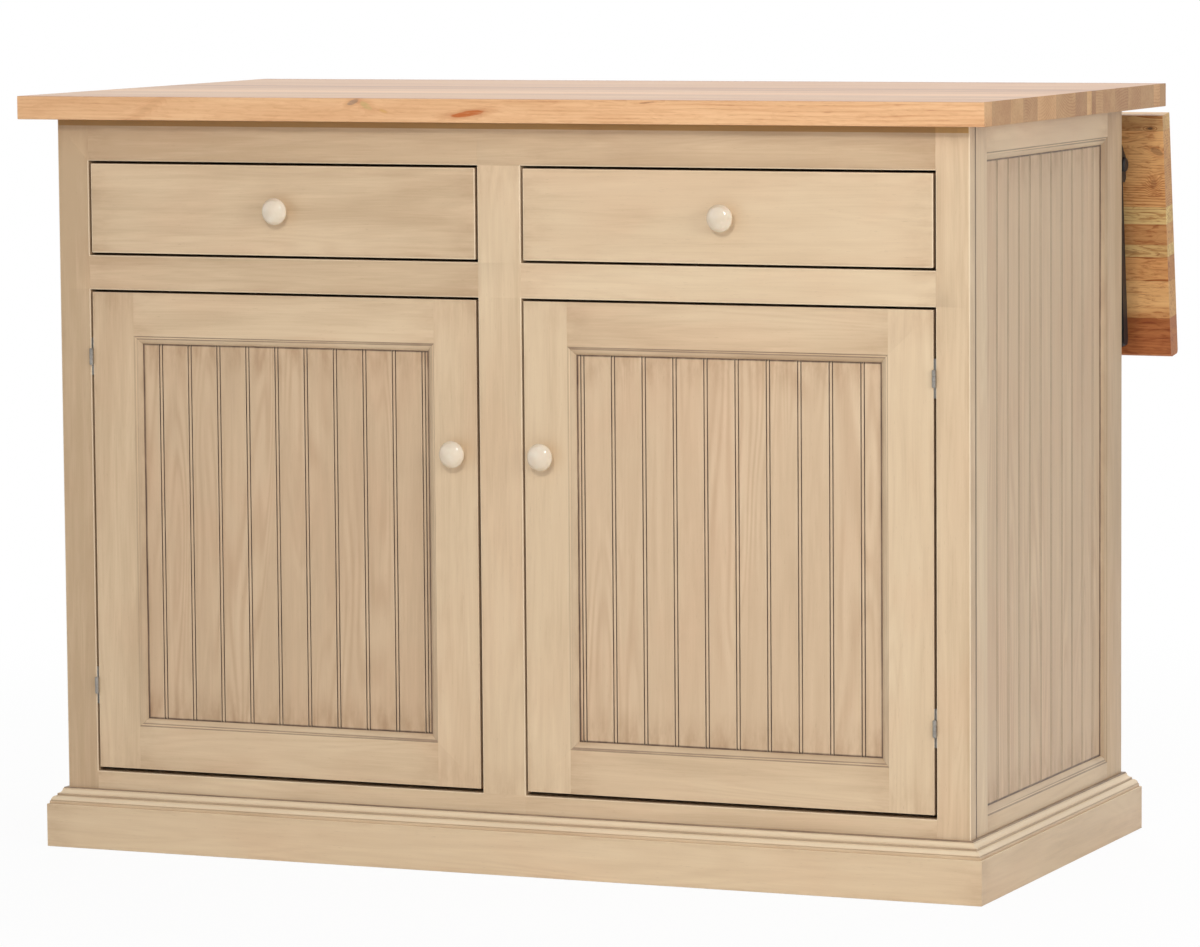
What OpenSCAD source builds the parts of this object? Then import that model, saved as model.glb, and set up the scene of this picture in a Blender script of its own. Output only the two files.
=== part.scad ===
// Kitchen island with a hanging drop leaf behind it: a frame-and-panel
// cabinet with two drawers over two beadboard doors, a moulded plinth, a
// butcher block top, and a back leaf on folding supports.
// X runs along the width, Y from the front to the back, Z up from the floor.

/* [Cabinet] */
// Width of the cabinet over its side frames
cab_w = 1165; // [1000:1:1400]
// Depth of the cabinet from the face frame to the back
cab_d = 552; // [540:1:650]
// Height of the cabinet, floor to the underside of the top
cab_h = 886; // [860:1:930]
// Thickness of the face frame boards
face_t = 19; // [17:0.5:24]
// Thickness of the side and back frame boards
side_t = 19; // [17:0.5:24]
// Width of the outer stiles of the face frame
stile_w = 41; // [38:0.5:60]
// Width of the stile between the two doors
center_stile_w = 55; // [45:0.5:80]
// Height of the rail above the drawers
top_rail_h = 51; // [40:0.5:70]
// Height of the rails between drawers and doors
mid_rail_h = 41.5; // [30:0.5:60]
// Height of a drawer opening
drawer_open_h = 113.5; // [112:0.5:140]
// Height of the bottom rail that shows above the cap moulding
bottom_reveal = 22; // [10:0.5:50]
// Gap round each door and drawer front
reveal = 3; // [2.8:0.1:4]

/* [Worktop] */
// Thickness of the butcher block top and of the leaf
top_t = 28; // [25:0.5:40]
// Overhang of the top past each side
side_over = 32; // [20:1:60]
// Overhang of the top past the face frame
front_over = 41; // [35:1:60]
// Overhang of the top past the back
back_over = 75; // [72:1:110]
// Radius of the eased edges of the top and of the leaf's hinge edge
top_edge_r = 1.5; // [1:0.5:6]

/* [Base] */
// Height of the plinth boards
plinth_h = 52.5; // [40:0.5:90]
// Thickness of the plinth boards
plinth_t = 20; // [18:0.5:28]
// Height of the cap moulding on the plinth
cap_h = 19; // [15:0.5:30]
// Depth of the cap moulding at its foot
cap_d = 17.5; // [14:0.5:18]
// Depth of the cap moulding at its top lip
cap_lip = 4.5; // [3:0.5:6]

/* [Frame and panel] */
// Width of the moulded edge round each panel
stick_w = 10; // [8:0.5:12]
// Depth of the panel face behind the frame face
recess = 6.5; // [5:0.5:8]
// Thickness of the beadboard panels
panel_t = 6; // [5:0.5:6.5]
// Depth of the groove that holds a panel
groove_d = 8; // [6:0.5:12]
// Distance from one bead to the next
bead_pitch = 38.7; // [25:0.1:60]
// Distance between the two quirks of a bead
bead_w = 4.1; // [3:0.1:8]
// Width of a quirk
quirk_w = 1.5; // [1:0.1:2.5]
// Depth of a quirk
quirk_d = 1.6; // [1:0.1:2.5]
// Width of the bevelled fillet that the moulded edge starts with
fillet_w = 1.5; // [1:0.1:3]
// Depth of that fillet
fillet_d = 1.3; // [0.5:0.1:2]
// First bead of a side panel, from the moulded edge of the front stile
side_bead_first = 43.5; // [4:0.5:60]
// First bead of a back panel, from the moulded edge of its stile
back_bead_first = 17.5; // [4:0.5:60]
// Width of the front stile of a side frame
side_stile_front_w = 39; // [35:0.5:70]
// Width of the back stile of a side frame
side_stile_back_w = 55; // [40:0.5:70]
// Height of the top rail of the side and back frames
side_top_rail_h = 32.5; // [30:0.5:60]
// Height of the bottom rail of the side and back frames
side_bottom_rail_h = 91; // [88:0.5:130]
// Width of the stiles of the back frame
back_stile_w = 64; // [62:0.5:90]

/* [Doors] */
// Thickness of the doors and drawer fronts
front_t = 20; // [18:0.5:24]
// Width of the door stiles
door_stile_w = 55; // [45:0.5:70]
// Height of the door rails
door_rail_h = 52; // [45:0.5:70]
// Gap under the doors
door_foot_gap = 5; // [3:0.5:8]
// First bead of a door panel, from its edge at the centre stile
door_bead_first = 6.5; // [4:0.5:20]
// Distance of the door knobs from the door's top
door_knob_drop = 181; // [100:1:280]
// Distance of the door knobs from the door's free edge
door_knob_inset = 26; // [20:0.5:36]

/* [Knobs] */
// Diameter of a knob
knob_d = 32; // [24:0.5:38]
// Distance that a knob stands out
knob_out = 25; // [20:0.5:30]
// Diameter of the foot of a knob
knob_foot_d = 17; // [12:0.5:20]

/* [Drawers] */
// Thickness of the drawer box boards
box_t = 12; // [10:0.5:15]
// Height of the drawer box
box_h = 90; // [80:1:100]
// Length of the drawer box, front to back
box_len = 450; // [350:1:470]
// Clearance of the box above the middle rail
box_lift = 10; // [8:0.5:12]
// Thickness of the drawer bottom
box_bottom_t = 6; // [4:0.5:8]
// Height of the drawer bottom above the box's lower edge
box_bottom_z = 10; // [6:0.5:16]
// Depth of the groove for the drawer bottom
box_groove_d = 5; // [3:0.5:7]

/* [Drawer slides] */
// Width taken by a slide between drawer and case
slide_w = 12.7; // [12:0.1:14]
// Height of the case member of a slide
slide_h = 45; // [40:0.5:50]
// Sheet thickness of the slides
slide_sheet = 1.2; // [1:0.1:1.5]
// Running gap between the members of a slide
slide_gap = 0.4; // [0.3:0.05:0.5]
// Height of the wooden blocks that carry the slides
slide_block_h = 60; // [52:1:80]

/* [Shelves] */
// Thickness of the shelves
shelf_t = 19; // [16:0.5:25]
// Height of the shelves above the cabinet's floor
shelf_z = 290; // [200:1:400]
// Diameter of the shelf pins
pin_d = 5; // [4:0.5:7]
// Spacing of the rows of shelf pin holes
pin_row_gap = 64; // [32:1:90]

/* [Door hinges] */
// Distance of the lower hinges from the door's foot
hinge_from_foot = 100; // [60:1:140]
// Distance of the upper hinges from the door's top
hinge_from_top = 78; // [40:1:120]
// Height of a hinge leaf
hinge_leaf_h = 45; // [35:0.5:60]
// Depth of a hinge leaf
hinge_leaf_d = 15; // [12:0.5:16]
// Thickness of a hinge leaf
hinge_leaf_t = 1.1; // [0.8:0.1:1.2]
// Length of the hinge barrel
hinge_barrel_l = 18; // [14:0.5:26]
// Diameter of the hinge barrel
hinge_barrel_d = 5.2; // [4.6:0.1:5.4]
// Diameter of the hinge pin
hinge_pin_d = 2.5; // [2:0.1:3]

/* [Drop leaf] */
// Width of the leaf, from the top's edge outwards
leaf_w = 301; // [300:1:330]
// Radius of the eased free edge of the leaf
leaf_edge_r = 5; // [3:0.5:8]
// Angle that the leaf hangs below level
leaf_hang = 83; // [80:0.5:84]
// Gap between top and leaf when the leaf is raised
leaf_gap = 2; // [1.5:0.1:4]
// Distance of the leaf's hinge axis in from the top's back edge
leaf_axis_in = 12; // [10:0.5:12]
// Height of the hinge axis above the underside of the top
leaf_axis_up = 3; // [3:0.5:3.5]
// Diameter of the leaf hinge knuckles
knuckle_d = 9; // [8.5:0.1:9.4]
// Diameter of the leaf hinge pins
leaf_pin_d = 4; // [3:0.1:5]
// Length of a leaf hinge
leaf_hinge_l = 70; // [50:1:100]
// Distance of the outer leaf hinges from the middle one
leaf_hinge_gap = 440; // [300:1:460]
// Depth of the hinge flap under the top
top_flap_d = 32; // [24:1:40]
// Depth of the hinge flap under the leaf
drop_flap_d = 60; // [40:1:90]
// Sheet thickness of the leaf hinges
flap_t = 1.5; // [1.3:0.1:1.7]

/* [Leaf supports] */
// Distance of the support plane in from the cabinet's side
support_in = 23.5; // [22:0.5:40]
// Brace pivot: distance in from the leaf's hinge axis
pivot_in = 10; // [8:0.5:12]
// Brace pivot: distance down from the leaf's hinge axis
pivot_down = 74; // [70:0.5:78]
// Place of the brace's pin along the hanging leaf
pin_hung_u = 290; // [286:0.5:291]
// Depth of the brace's pin under the hinge axis, leaf hanging
pin_hung_v = 22; // [20:0.5:24]
// Depth of the brace's pin under the hinge axis, leaf level
pin_level_v = 15; // [14:0.5:17]
// Width of the brace
brace_w = 15; // [14:0.5:16]
// Thickness of the brace
brace_t = 4; // [3:0.5:4]
// Sheet thickness of the arm and the cabinet plate
support_sheet = 2.5; // [2:0.1:3]
// Diameter of the pivot and of the sliding pin
support_pin_d = 8; // [6:0.5:8]
// Diameter of the round pivot head
pivot_head_d = 18; // [16:0.5:20]
// Rim left round the slot of the arm
slot_rim = 5.5; // [4:0.5:7]
// Width of the flanges that are screwed to leaf and cabinet
flange_w = 22; // [20:0.5:26]
// Height of the cabinet plates
plate_h = 84; // [78:1:95]
// Distance from the top of a cabinet plate to the worktop
plate_drop = 9; // [5:1:15]

/* [Screws] */
// Diameter of the screws
screw_d = 4; // [3:0.1:5]
// Diameter of the screw heads
screw_head_d = 8; // [6:0.5:9]
// Height of the screw heads
screw_head_t = 2.2; // [1.5:0.1:3]
// Length of a screw in the wood
screw_grip = 14; // [8:0.5:16]

/* [Hidden] */
$fn = 48;
eps = 0.01;
// Slack of a panel, a tongue or a pin in its groove or hole
fit = 0.2;
// Radial running clearance of a hinge pin or a pivot
run = 0.05;
// Joint line between two boards of one frame
seam = 0.05;
// Room left for a panel to swell in its groove
panel_room = 1;

// Planes of the cabinet
half_w = cab_w / 2;
top_w = cab_w + 2 * side_over;
base_h = plinth_h + cap_h;
open_w = (cab_w - 2 * stile_w - center_stile_w) / 2;
open_in = center_stile_w / 2;
open_out = open_in + open_w;
drawer_top = cab_h - top_rail_h;
drawer_foot = drawer_top - drawer_open_h;
door_top = drawer_foot - mid_rail_h;
door_foot = base_h + bottom_reveal;

// Leaf hinge frame: u runs out along the leaf, v up through its thickness
leaf_u0 = leaf_axis_in + leaf_gap;
leaf_u1 = leaf_u0 + leaf_w;
leaf_v0 = -leaf_axis_up;
leaf_v1 = leaf_v0 + top_t;
leaf_reach = (leaf_u1 - leaf_edge_r) * cos(leaf_hang) + (leaf_v1 - leaf_edge_r) * sin(leaf_hang) + leaf_edge_r;

// The origin lies under the middle of the whole island
depth_all = front_over + cab_d + back_over - leaf_axis_in + leaf_reach;
front_y = front_over - depth_all / 2;
back_y = front_y + cab_d;
top_y0 = front_y - front_over;
top_y1 = back_y + back_over;
inside_y0 = front_y + face_t;
inside_y1 = back_y - side_t;
axis_y = top_y1 - leaf_axis_in;
axis_z = cab_h + leaf_axis_up;

// Case interior
deck_t = 18;
partition_t = 19;
stretcher_d = 80;
stretcher_t = 19;
side_in = half_w - side_t;

// Doors
door_w = open_w - 2 * reveal;
door_z0 = door_foot + door_foot_gap;
door_h = door_top - reveal - door_z0;
hinge_x = open_out - reveal / 2;
hinge_y = front_y - hinge_barrel_d / 2 + 0.2;
hinge_zs = [door_z0 + hinge_from_foot, door_z0 + door_h - hinge_from_top];
door_knob_z = door_z0 + door_h - door_knob_drop;
leaf_set_back = 0.8;
knuckle_gap = 0.3;

// Drawers
drawer_w = open_w - 2 * reveal;
drawer_h = drawer_open_h - 2 * reveal;
drawer_x = (open_in + open_out) / 2;
box_w = open_w - 2 * slide_w;
box_y0 = front_y + front_t;
box_z0 = drawer_foot + box_lift;
slide_z = box_z0 + box_h / 2;
slide_y0 = box_y0 + 2;
slide_len = box_len - 2;

// Leaf hinges
hinge_clear = knuckle_d / 2 + 1;
flap_gap = 0.1;
knuckles = 5;
leaf_hinge_xs = [-leaf_hinge_gap, 0, leaf_hinge_gap];
flap_screw_in = 10;
flap_screw_x = leaf_hinge_l / 2 - flap_screw_in;

// Leaf supports, in the hinge frame with the leaf level
support_x = half_w - support_in;
plate_gap = 0.5;
brace_x0 = support_x + plate_gap;
plate_x0 = brace_x0 + brace_t + plate_gap;
pin_clear = 0.3;
slot_steps = 20;
pin_head_d = 14;
pin_head_t = 1.5;
pivot_head_t = 5;
pivot_washer_t = 1.7;
function leaf_to_world(a, u, v) = [u * cos(a) + v * sin(a), -u * sin(a) + v * cos(a)];
function world_to_leaf(a, p) = [p[0] * cos(a) - p[1] * sin(a), p[0] * sin(a) + p[1] * cos(a)];
pivot = [-pivot_in, -pivot_down];
hung_pin = leaf_to_world(leaf_hang, pin_hung_u, -pin_hung_v);
brace_len = norm(hung_pin - pivot);
level_pin_u = pivot[0] + sqrt(pow(brace_len, 2) - pow(pivot_down - pin_level_v, 2));
brace_hung_a = atan2(hung_pin[1] - pivot[1], hung_pin[0] - pivot[0]);
brace_level_a = atan2(pivot_down - pin_level_v, level_pin_u - pivot[0]);
// Where the brace's pin lies in the leaf, from hanging (0) to level (1)
function slot_pt(t) = let (a = brace_hung_a + t * (brace_level_a - brace_hung_a))
    world_to_leaf(leaf_hang * (1 - t), pivot + brace_len * [cos(a), sin(a)]);
function slot_dir(t) = let (d = slot_pt(t + 0.01) - slot_pt(t - 0.01)) d / norm(d);
function slot_side(t, w) = slot_pt(t) + w * [-slot_dir(t)[1], slot_dir(t)[0]];
slot_r = support_pin_d / 2 + pin_clear;
arm_r = slot_r + slot_rim;
arm_start = 6;
arm_screw_in = 15;
arm_u0 = pivot_down + pin_head_d + arm_start;
arm_u1 = pin_hung_u + arm_r;
arm_screw_us = [arm_u0 + arm_screw_in, arm_u1 - arm_screw_in];
arm_screw_x = support_x - (flange_w + support_sheet) / 2;
plate_z0 = cab_h - plate_drop - plate_h;
ear_rim = 4;
plate_y1 = axis_y - pivot_in + pivot_head_d / 2 + ear_rim;
plate_screw_in = 14;
plate_screw_zs = [plate_z0 + plate_screw_in, plate_z0 + plate_h - plate_screw_in];
plate_screw_x = plate_x0 + (support_sheet - flange_w) / 2;

cream = [0.84, 0.75, 0.63];
panel_tan = [0.78, 0.67, 0.55];
block = [0.86, 0.68, 0.47];
leaf_wood = [0.74, 0.52, 0.3];
birch = [0.87, 0.78, 0.64];
steel = [0.72, 0.73, 0.75];
black = [0.12, 0.12, 0.13];
ivory = [0.93, 0.9, 0.8];

// ---- shared shapes ----

// Extrudes a (y, z) outline along X
module along_x(x0, x1) {
    translate([x0, 0, 0]) rotate([90, 0, 90]) linear_extrude(x1 - x0) children();
}

// Outline of a slab, w by h, whose corners have the radius r0 on its left
// and r1 on its right
module slab_outline(w, h, r0, r1) {
    translate([r0, 0]) square([w - r0 - r1, h]);
    translate([0, r0]) square([w / 2, h - 2 * r0]);
    translate([w / 3, r1]) square([w - w / 3, h - 2 * r1]);
    for (y = [r0, h - r0]) translate([r0, y]) circle(r0);
    for (y = [r1, h - r1]) translate([w - r1, y]) circle(r1);
}

// Outline of the moulded edge, x out from the bar and y back from its face:
// a bevelled fillet, then a round that falls to the panel
module sticking_outline() {
    round_w = stick_w - fillet_w;
    round_d = recess - fillet_d;
    round_r = (pow(round_w, 2) + pow(round_d, 2)) / (2 * round_d);
    polygon([[0, 0], [fillet_w, fillet_d], [fillet_w, recess], [0, recess]]);
    intersection() {
        translate([fillet_w - eps, fillet_d]) square([round_w + eps, round_d]);
        translate([fillet_w, fillet_d + round_r]) circle(round_r);
    }
}

// Moulded inner edge of a frame bar, mitred at both ends. It runs along +Z
// from the origin, grows towards +X and is flush with the front at y = 0.
module sticking(len) {
    intersection() {
        linear_extrude(len) sticking_outline();
        rotate([90, 0, 0]) translate([0, 0, -recess])
            linear_extrude(recess) polygon([[0, 0], [stick_w, stick_w], [stick_w, len - stick_w], [0, len]]);
    }
}

// One bar of a frame: it stands along +Z, its inner edge faces +X and holds
// the panel between z0 and z1.
module frame_bar(len, w, t, z0, z1) {
    difference() {
        cube([w, t, len]);
        translate([w - groove_d, recess, z0 - groove_d])
            cube([groove_d + eps, panel_t + fit, z1 - z0 + 2 * groove_d]);
    }
    translate([w, 0, z0]) sticking(z1 - z0);
}

// Stiles and rails of a frame w by h whose outer left foot is the origin.
// A frame's bars are the widths of its left, right, top and bottom bar.
module frame_stiles(w, h, t, bars) {
    frame_bar(h, bars[0], t, bars[3], h - bars[2]);
    translate([w, 0, 0]) mirror([1, 0, 0]) frame_bar(h, bars[1], t, bars[3], h - bars[2]);
}

module frame_rails(w, h, t, bars) {
    len = w - bars[0] - bars[1] - 2 * seam;
    translate([bars[0] + seam, 0, 0]) mirror([1, 0, -1]) frame_bar(len, bars[3], t, 0, len);
    translate([bars[0] + seam, 0, h]) mirror([0, 0, 1]) mirror([1, 0, -1]) frame_bar(len, bars[2], t, 0, len);
}

// Beadboard that fills a frame's grooves, with pairs of quirks along each bead
module bead_panel(w, h, bars, first) {
    hold = groove_d - panel_room;
    x0 = bars[0] - hold;
    x1 = w - bars[1] + hold;
    z0 = bars[3] - hold;
    z1 = h - bars[2] + hold;
    bead_x0 = bars[0] + stick_w + first;
    difference() {
        translate([x0, recess, z0]) cube([x1 - x0, panel_t, z1 - z0]);
        for (x = [bead_x0 : bead_pitch : w - bars[1] - stick_w - bead_w], s = [-1, 1])
            translate([x + s * bead_w / 2 - quirk_w / 2, recess - eps, z0 - eps])
                cube([quirk_w, quirk_d + eps, z1 - z0 + 2 * eps]);
    }
}

// Ceramic mushroom knob that points to -Y from the origin: a collar, a
// flared neck, and a crowned head with a round rim
module knob() {
    collar_t = 3;
    collar_rim = 2.5;
    neck_flare = 1;
    head_t = 8;
    flare_t = 9;
    crown_r = 24;
    rim_r = 3.5;
    neck_r = knob_foot_d / 2 - collar_rim;
    head_r = knob_d / 2 - rim_r;
    rim_z = knob_out - head_t;
    rotate([90, 0, 0]) rotate_extrude() {
        square([knob_foot_d / 2, collar_t]);
        polygon([[0, 0], [neck_r, collar_t], [neck_r + neck_flare, rim_z - flare_t],
            [head_r, rim_z - rim_r], [0, rim_z]]);
        intersection() {
            union() {
                square([head_r, knob_out]);
                translate([head_r, rim_z]) circle(rim_r);
            }
            translate([0, knob_out - crown_r]) circle(crown_r);
            translate([0, rim_z - rim_r]) square([knob_d / 2, knob_out]);
        }
    }
}

// Pan head screw whose head rises along +Z from the origin; its shank goes
// down through a sheet and then into the wood
module screw(sheet) {
    cylinder(d = screw_head_d, h = screw_head_t);
    translate([0, 0, -sheet - screw_grip]) cylinder(d = screw_d, h = sheet + screw_grip + eps);
}

// Hole for the shank of such a screw
module screw_hole(sheet) {
    translate([0, 0, -sheet - screw_grip - run]) cylinder(d = screw_d + 2 * run, h = sheet + screw_grip + 1);
}

// Places of the screws under the worktop, on the sheet of the hinge flaps
module at_top_flap_screws() {
    for (x = leaf_hinge_xs, s = [-1, 1])
        translate([x + s * flap_screw_x, axis_y - top_flap_d + flap_screw_in, cab_h - flap_t])
            rotate([180, 0, 0]) children();
}

// Places of the screws of the hinge flaps on the hanging leaf
module at_drop_flap_screws() {
    in_hanging_leaf() for (x = leaf_hinge_xs, s = [-1, 1])
        translate([x + s * flap_screw_x, drop_flap_d - flap_screw_in, leaf_v0 - flap_gap - flap_t])
            rotate([180, 0, 0]) children();
}

// Places of the screws of the support plates on the cabinet's back
module at_plate_screws() {
    both_sides() for (z = plate_screw_zs) translate([plate_screw_x, back_y + support_sheet, z])
        rotate([-90, 0, 0]) children();
}

// Places of the screws of the support arms on the hanging leaf
module at_arm_screws() {
    in_hanging_leaf() both_sides() for (u = arm_screw_us)
        translate([arm_screw_x, u, leaf_v0 - support_sheet]) rotate([180, 0, 0]) children();
}

// ---- worktop and face frame ----

module worktop() {
    color(block) difference() {
        along_x(-top_w / 2, top_w / 2) translate([top_y0, cab_h])
            slab_outline(top_y1 - top_y0, top_t, top_edge_r, top_edge_r);
        for (x = leaf_hinge_xs) translate([x - leaf_hinge_l / 2 - 1, axis_y, axis_z])
            rotate([0, 90, 0]) cylinder(r = hinge_clear, h = leaf_hinge_l + 2);
        at_top_flap_screws() screw_hole(flap_t);
    }
}

module face_stile(x0) {
    color(cream) translate([x0, front_y, 0]) cube([stile_w, face_t, cab_h]);
}

module face_stile_left() face_stile(-half_w);

module face_stile_right() face_stile(half_w - stile_w);

module face_stile_center() {
    color(cream) translate([-open_in, front_y, door_foot])
        cube([center_stile_w, face_t, drawer_top - door_foot]);
}

module face_rail_top() {
    color(cream) translate([-open_out, front_y, drawer_top]) cube([2 * open_out, face_t, top_rail_h]);
}

module face_rails_middle() {
    color(cream) for (x = [-open_out, open_in])
        translate([x, front_y, door_top]) cube([open_w, face_t, mid_rail_h]);
}

module face_rail_bottom() {
    color(cream) translate([-open_out, front_y, 0]) cube([2 * open_out, face_t, door_foot]);
}

// ---- sides, back and interior ----

side_len = cab_d - face_t;
side_bars = [side_stile_front_w, side_stile_back_w, side_top_rail_h, side_bottom_rail_h];

// Turns a frame that was drawn facing -Y so that it forms the right side
module on_right_side() {
    translate([half_w, inside_y0, 0]) rotate([0, 0, 90]) children();
}

// Blind holes for the shelf pins, on the inner face of a side's stiles
module side_pin_holes() {
    for (y = pin_ys, z = pin_zs) translate([side_in - eps, y, z])
        rotate([0, 90, 0]) cylinder(d = pin_d + fit, h = pin_hole_d + eps);
}

module side_frame() {
    color(cream) difference() {
        on_right_side() {
            frame_stiles(side_len, cab_h, side_t, side_bars);
            frame_rails(side_len, cab_h, side_t, side_bars);
        }
        side_pin_holes();
    }
}

module side_panel() {
    color(panel_tan) on_right_side() bead_panel(side_len, cab_h, side_bars, side_bead_first);
}

module left_side_frame() mirror([1, 0, 0]) side_frame();

module left_side_panel() mirror([1, 0, 0]) side_panel();

module right_side_frame() side_frame();

module right_side_panel() side_panel();

back_w = 2 * side_in;
back_bay = back_w / 2 - back_stile_w / 2;
back_half_w = back_bay + back_stile_w;
back_bars = [back_stile_w, back_stile_w, side_top_rail_h, side_bottom_rail_h];

// The back frame is two equal frames that share their middle stile
module facing_back() {
    rotate([0, 0, 180]) translate([-side_in, -back_y, 0]) children();
}

module back_bar(w) {
    frame_bar(cab_h, w, side_t, side_bottom_rail_h, cab_h - side_top_rail_h);
}

module back_frame() {
    color(cream) difference() {
        facing_back() {
            back_bar(back_stile_w);
            translate([back_w, 0, 0]) mirror([1, 0, 0]) back_bar(back_stile_w);
            translate([back_w / 2, 0, 0]) for (m = [0, 1]) mirror([m, 0, 0]) back_bar(back_stile_w / 2);
            for (x = [0, back_bay]) translate([x, 0, 0])
                frame_rails(back_half_w, cab_h, side_t, back_bars);
        }
        at_plate_screws() screw_hole(support_sheet);
    }
}

module back_panels() {
    color(panel_tan) facing_back() for (x = [0, back_bay]) translate([x, 0, 0])
        bead_panel(back_half_w, cab_h, back_bars, back_bead_first);
}

module bottom_deck() {
    color(birch) translate([-side_in, inside_y0, door_foot - deck_t])
        cube([2 * side_in, inside_y1 - inside_y0, deck_t]);
}

pin_l = 15;
pin_hole_d = 8.5;
shelf_back_gap = 6;
pin_ys = [inside_y0 + side_stile_front_w / 2, inside_y1 - 16];
pin_z0 = door_foot + shelf_z - shelf_t - pin_d / 2;
pin_zs = [for (i = [-1 : 1]) pin_z0 + i * pin_row_gap];

module center_partition() {
    color(birch) difference() {
        translate([-partition_t / 2, inside_y0, door_foot])
            cube([partition_t, inside_y1 - inside_y0, cab_h - stretcher_t - door_foot]);
        for (s = [-1, 1], y = pin_ys, z = pin_zs)
            translate([s * (partition_t / 2 - pin_hole_d / 2 + eps), y, z]) rotate([0, 90, 0])
                cylinder(d = pin_d + fit, h = pin_hole_d + eps, center = true);
    }
}

shelf_end_gap = 1;
shelf_y0 = inside_y0 + 8;

module shelf_right() {
    color(birch) translate([partition_t / 2 + shelf_end_gap, shelf_y0, door_foot + shelf_z - shelf_t])
        cube([side_in - partition_t / 2 - 2 * shelf_end_gap, inside_y1 - shelf_back_gap - shelf_y0, shelf_t]);
}

module shelf_left() mirror([1, 0, 0]) shelf_right();

module shelf_pins() {
    inner_x = partition_t / 2 - pin_hole_d + eps;
    outer_x = side_in + pin_hole_d - pin_l - eps;
    color(steel) for (s = [-1, 1], y = pin_ys, x = [inner_x, outer_x])
        translate([s > 0 ? x : -x - pin_l, y, pin_z0]) rotate([0, 90, 0]) cylinder(d = pin_d, h = pin_l);
}

module top_stretchers() {
    color(birch) for (y = [inside_y0, inside_y1 - stretcher_d])
        translate([-side_in, y, cab_h - stretcher_t]) cube([2 * side_in, stretcher_d, stretcher_t]);
}

// ---- plinth ----

// Outline of the cap moulding: depth out from the cabinet, height above the
// plinth. From its foot it has a fillet, a quarter round, a step and a cove.
module cap_outline() {
    fillet = 3.5;
    round_r = 6;
    step = 1;
    lip_h = 1.5;
    round_x = cap_d - step - round_r;
    hollow_r = round_x + step / 2 - cap_lip - step;
    difference() {
        square([cap_d, cap_h]);
        difference() {
            translate([round_x, fillet]) square([round_r + 2 * step, cap_h]);
            translate([round_x, fillet]) circle(round_r);
        }
        translate([round_x + step / 2, cap_h - lip_h]) circle(hollow_r);
        translate([cap_lip, cap_h - lip_h]) square([cap_d, cap_h]);
    }
}

// A base moulding along +X, outward to -Y, mitred for a cabinet side of
// length len; its outline has x out from the cabinet and y up.
module mitred(len, deep) {
    intersection() {
        translate([-deep, 0, 0]) rotate([90, 0, 90]) linear_extrude(len + 2 * deep) mirror([1, 0]) children();
        linear_extrude(base_h) polygon([[0, 0], [len, 0], [len + deep, -deep], [-deep, -deep]]);
    }
}

// Places a moulding that was drawn from a corner at both ends of the cabinet,
// whose width across the moulding is deep, turned by a first
module round_the_base(a, len, deep) {
    translate([0, front_y + cab_d / 2, 0]) for (turn = [a, a + 180])
        rotate([0, 0, turn]) translate([-len / 2, -deep / 2, 0]) children();
}

module plinth_outline() square([plinth_t, plinth_h]);

module plinth_front_and_back() {
    color(cream) round_the_base(0, cab_w, cab_d) mitred(cab_w, plinth_t) plinth_outline();
}

module plinth_sides() {
    color(cream) round_the_base(90, cab_d, cab_w) mitred(cab_d, plinth_t) plinth_outline();
}

module cap_molding_front_and_back() {
    color(cream) round_the_base(0, cab_w, cab_d) mitred(cab_w, cap_d) translate([0, plinth_h]) cap_outline();
}

module cap_molding_sides() {
    color(cream) round_the_base(90, cab_d, cab_w) mitred(cab_d, cap_d) translate([0, plinth_h]) cap_outline();
}

// ---- drawer slides ----

module slide_blocks() {
    color(birch) for (s = [-1, 1], x = [[partition_t / 2, open_in], [open_out, side_in]])
        translate([s > 0 ? x[0] : -x[1], inside_y0, slide_z - slide_block_h / 2])
            cube([x[1] - x[0], slide_y0 + slide_len - inside_y0, slide_block_h]);
}

// Channel that runs along +Y, web at x = 0, lips towards +X
module channel(h, deep, len) {
    translate([0, 0, -h / 2]) cube([slide_sheet, len, h]);
    for (z = [-h / 2, h / 2 - slide_sheet]) translate([0, 0, z]) cube([deep, len, slide_sheet]);
}

// Both slides of the drawer on side s, each drawn from its case side inwards
module slide_pair(s) {
    translate([s * drawer_x, slide_y0, slide_z]) for (m = [0, 1])
        mirror([m, 0, 0]) translate([-open_w / 2, 0, 0]) children();
}

mid_h = slide_h - 2 * slide_sheet - 2 * slide_gap;
inner_h = mid_h - 2 * slide_sheet - 2 * slide_gap;
mid_x = 2.5;
lip_back = 1;

module slide_case_members() {
    color(steel) for (s = [-1, 1]) slide_pair(s) channel(slide_h, slide_w - 2 * lip_back, slide_len);
}

module slide_middles(s) {
    color(steel) slide_pair(s) translate([mid_x, 0, 0])
        channel(mid_h, slide_w - mid_x - 2 * lip_back, slide_len);
}

module drawer_slide_members(s) {
    color(steel) slide_pair(s) translate([slide_w, 0, 0]) mirror([1, 0, 0])
        channel(inner_h, slide_w - mid_x - slide_sheet - lip_back, slide_len);
}

module left_slide_middles() slide_middles(-1);

module right_slide_middles() slide_middles(1);

module left_drawer_slide_members() drawer_slide_members(-1);

module right_drawer_slide_members() drawer_slide_members(1);

// ---- drawers ----

module drawer_front(s) {
    color(cream) translate([s * drawer_x - drawer_w / 2, front_y, drawer_foot + reveal])
        cube([drawer_w, front_t, drawer_h]);
}

module drawer_bottom(s) {
    w = box_w - 2 * box_t + 2 * box_groove_d;
    l = box_len - 2 * box_t + 2 * box_groove_d;
    color(birch) translate([s * drawer_x - w / 2, box_y0 + box_t - box_groove_d, box_z0 + box_bottom_z])
        cube([w, l, box_bottom_t]);
}

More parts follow.
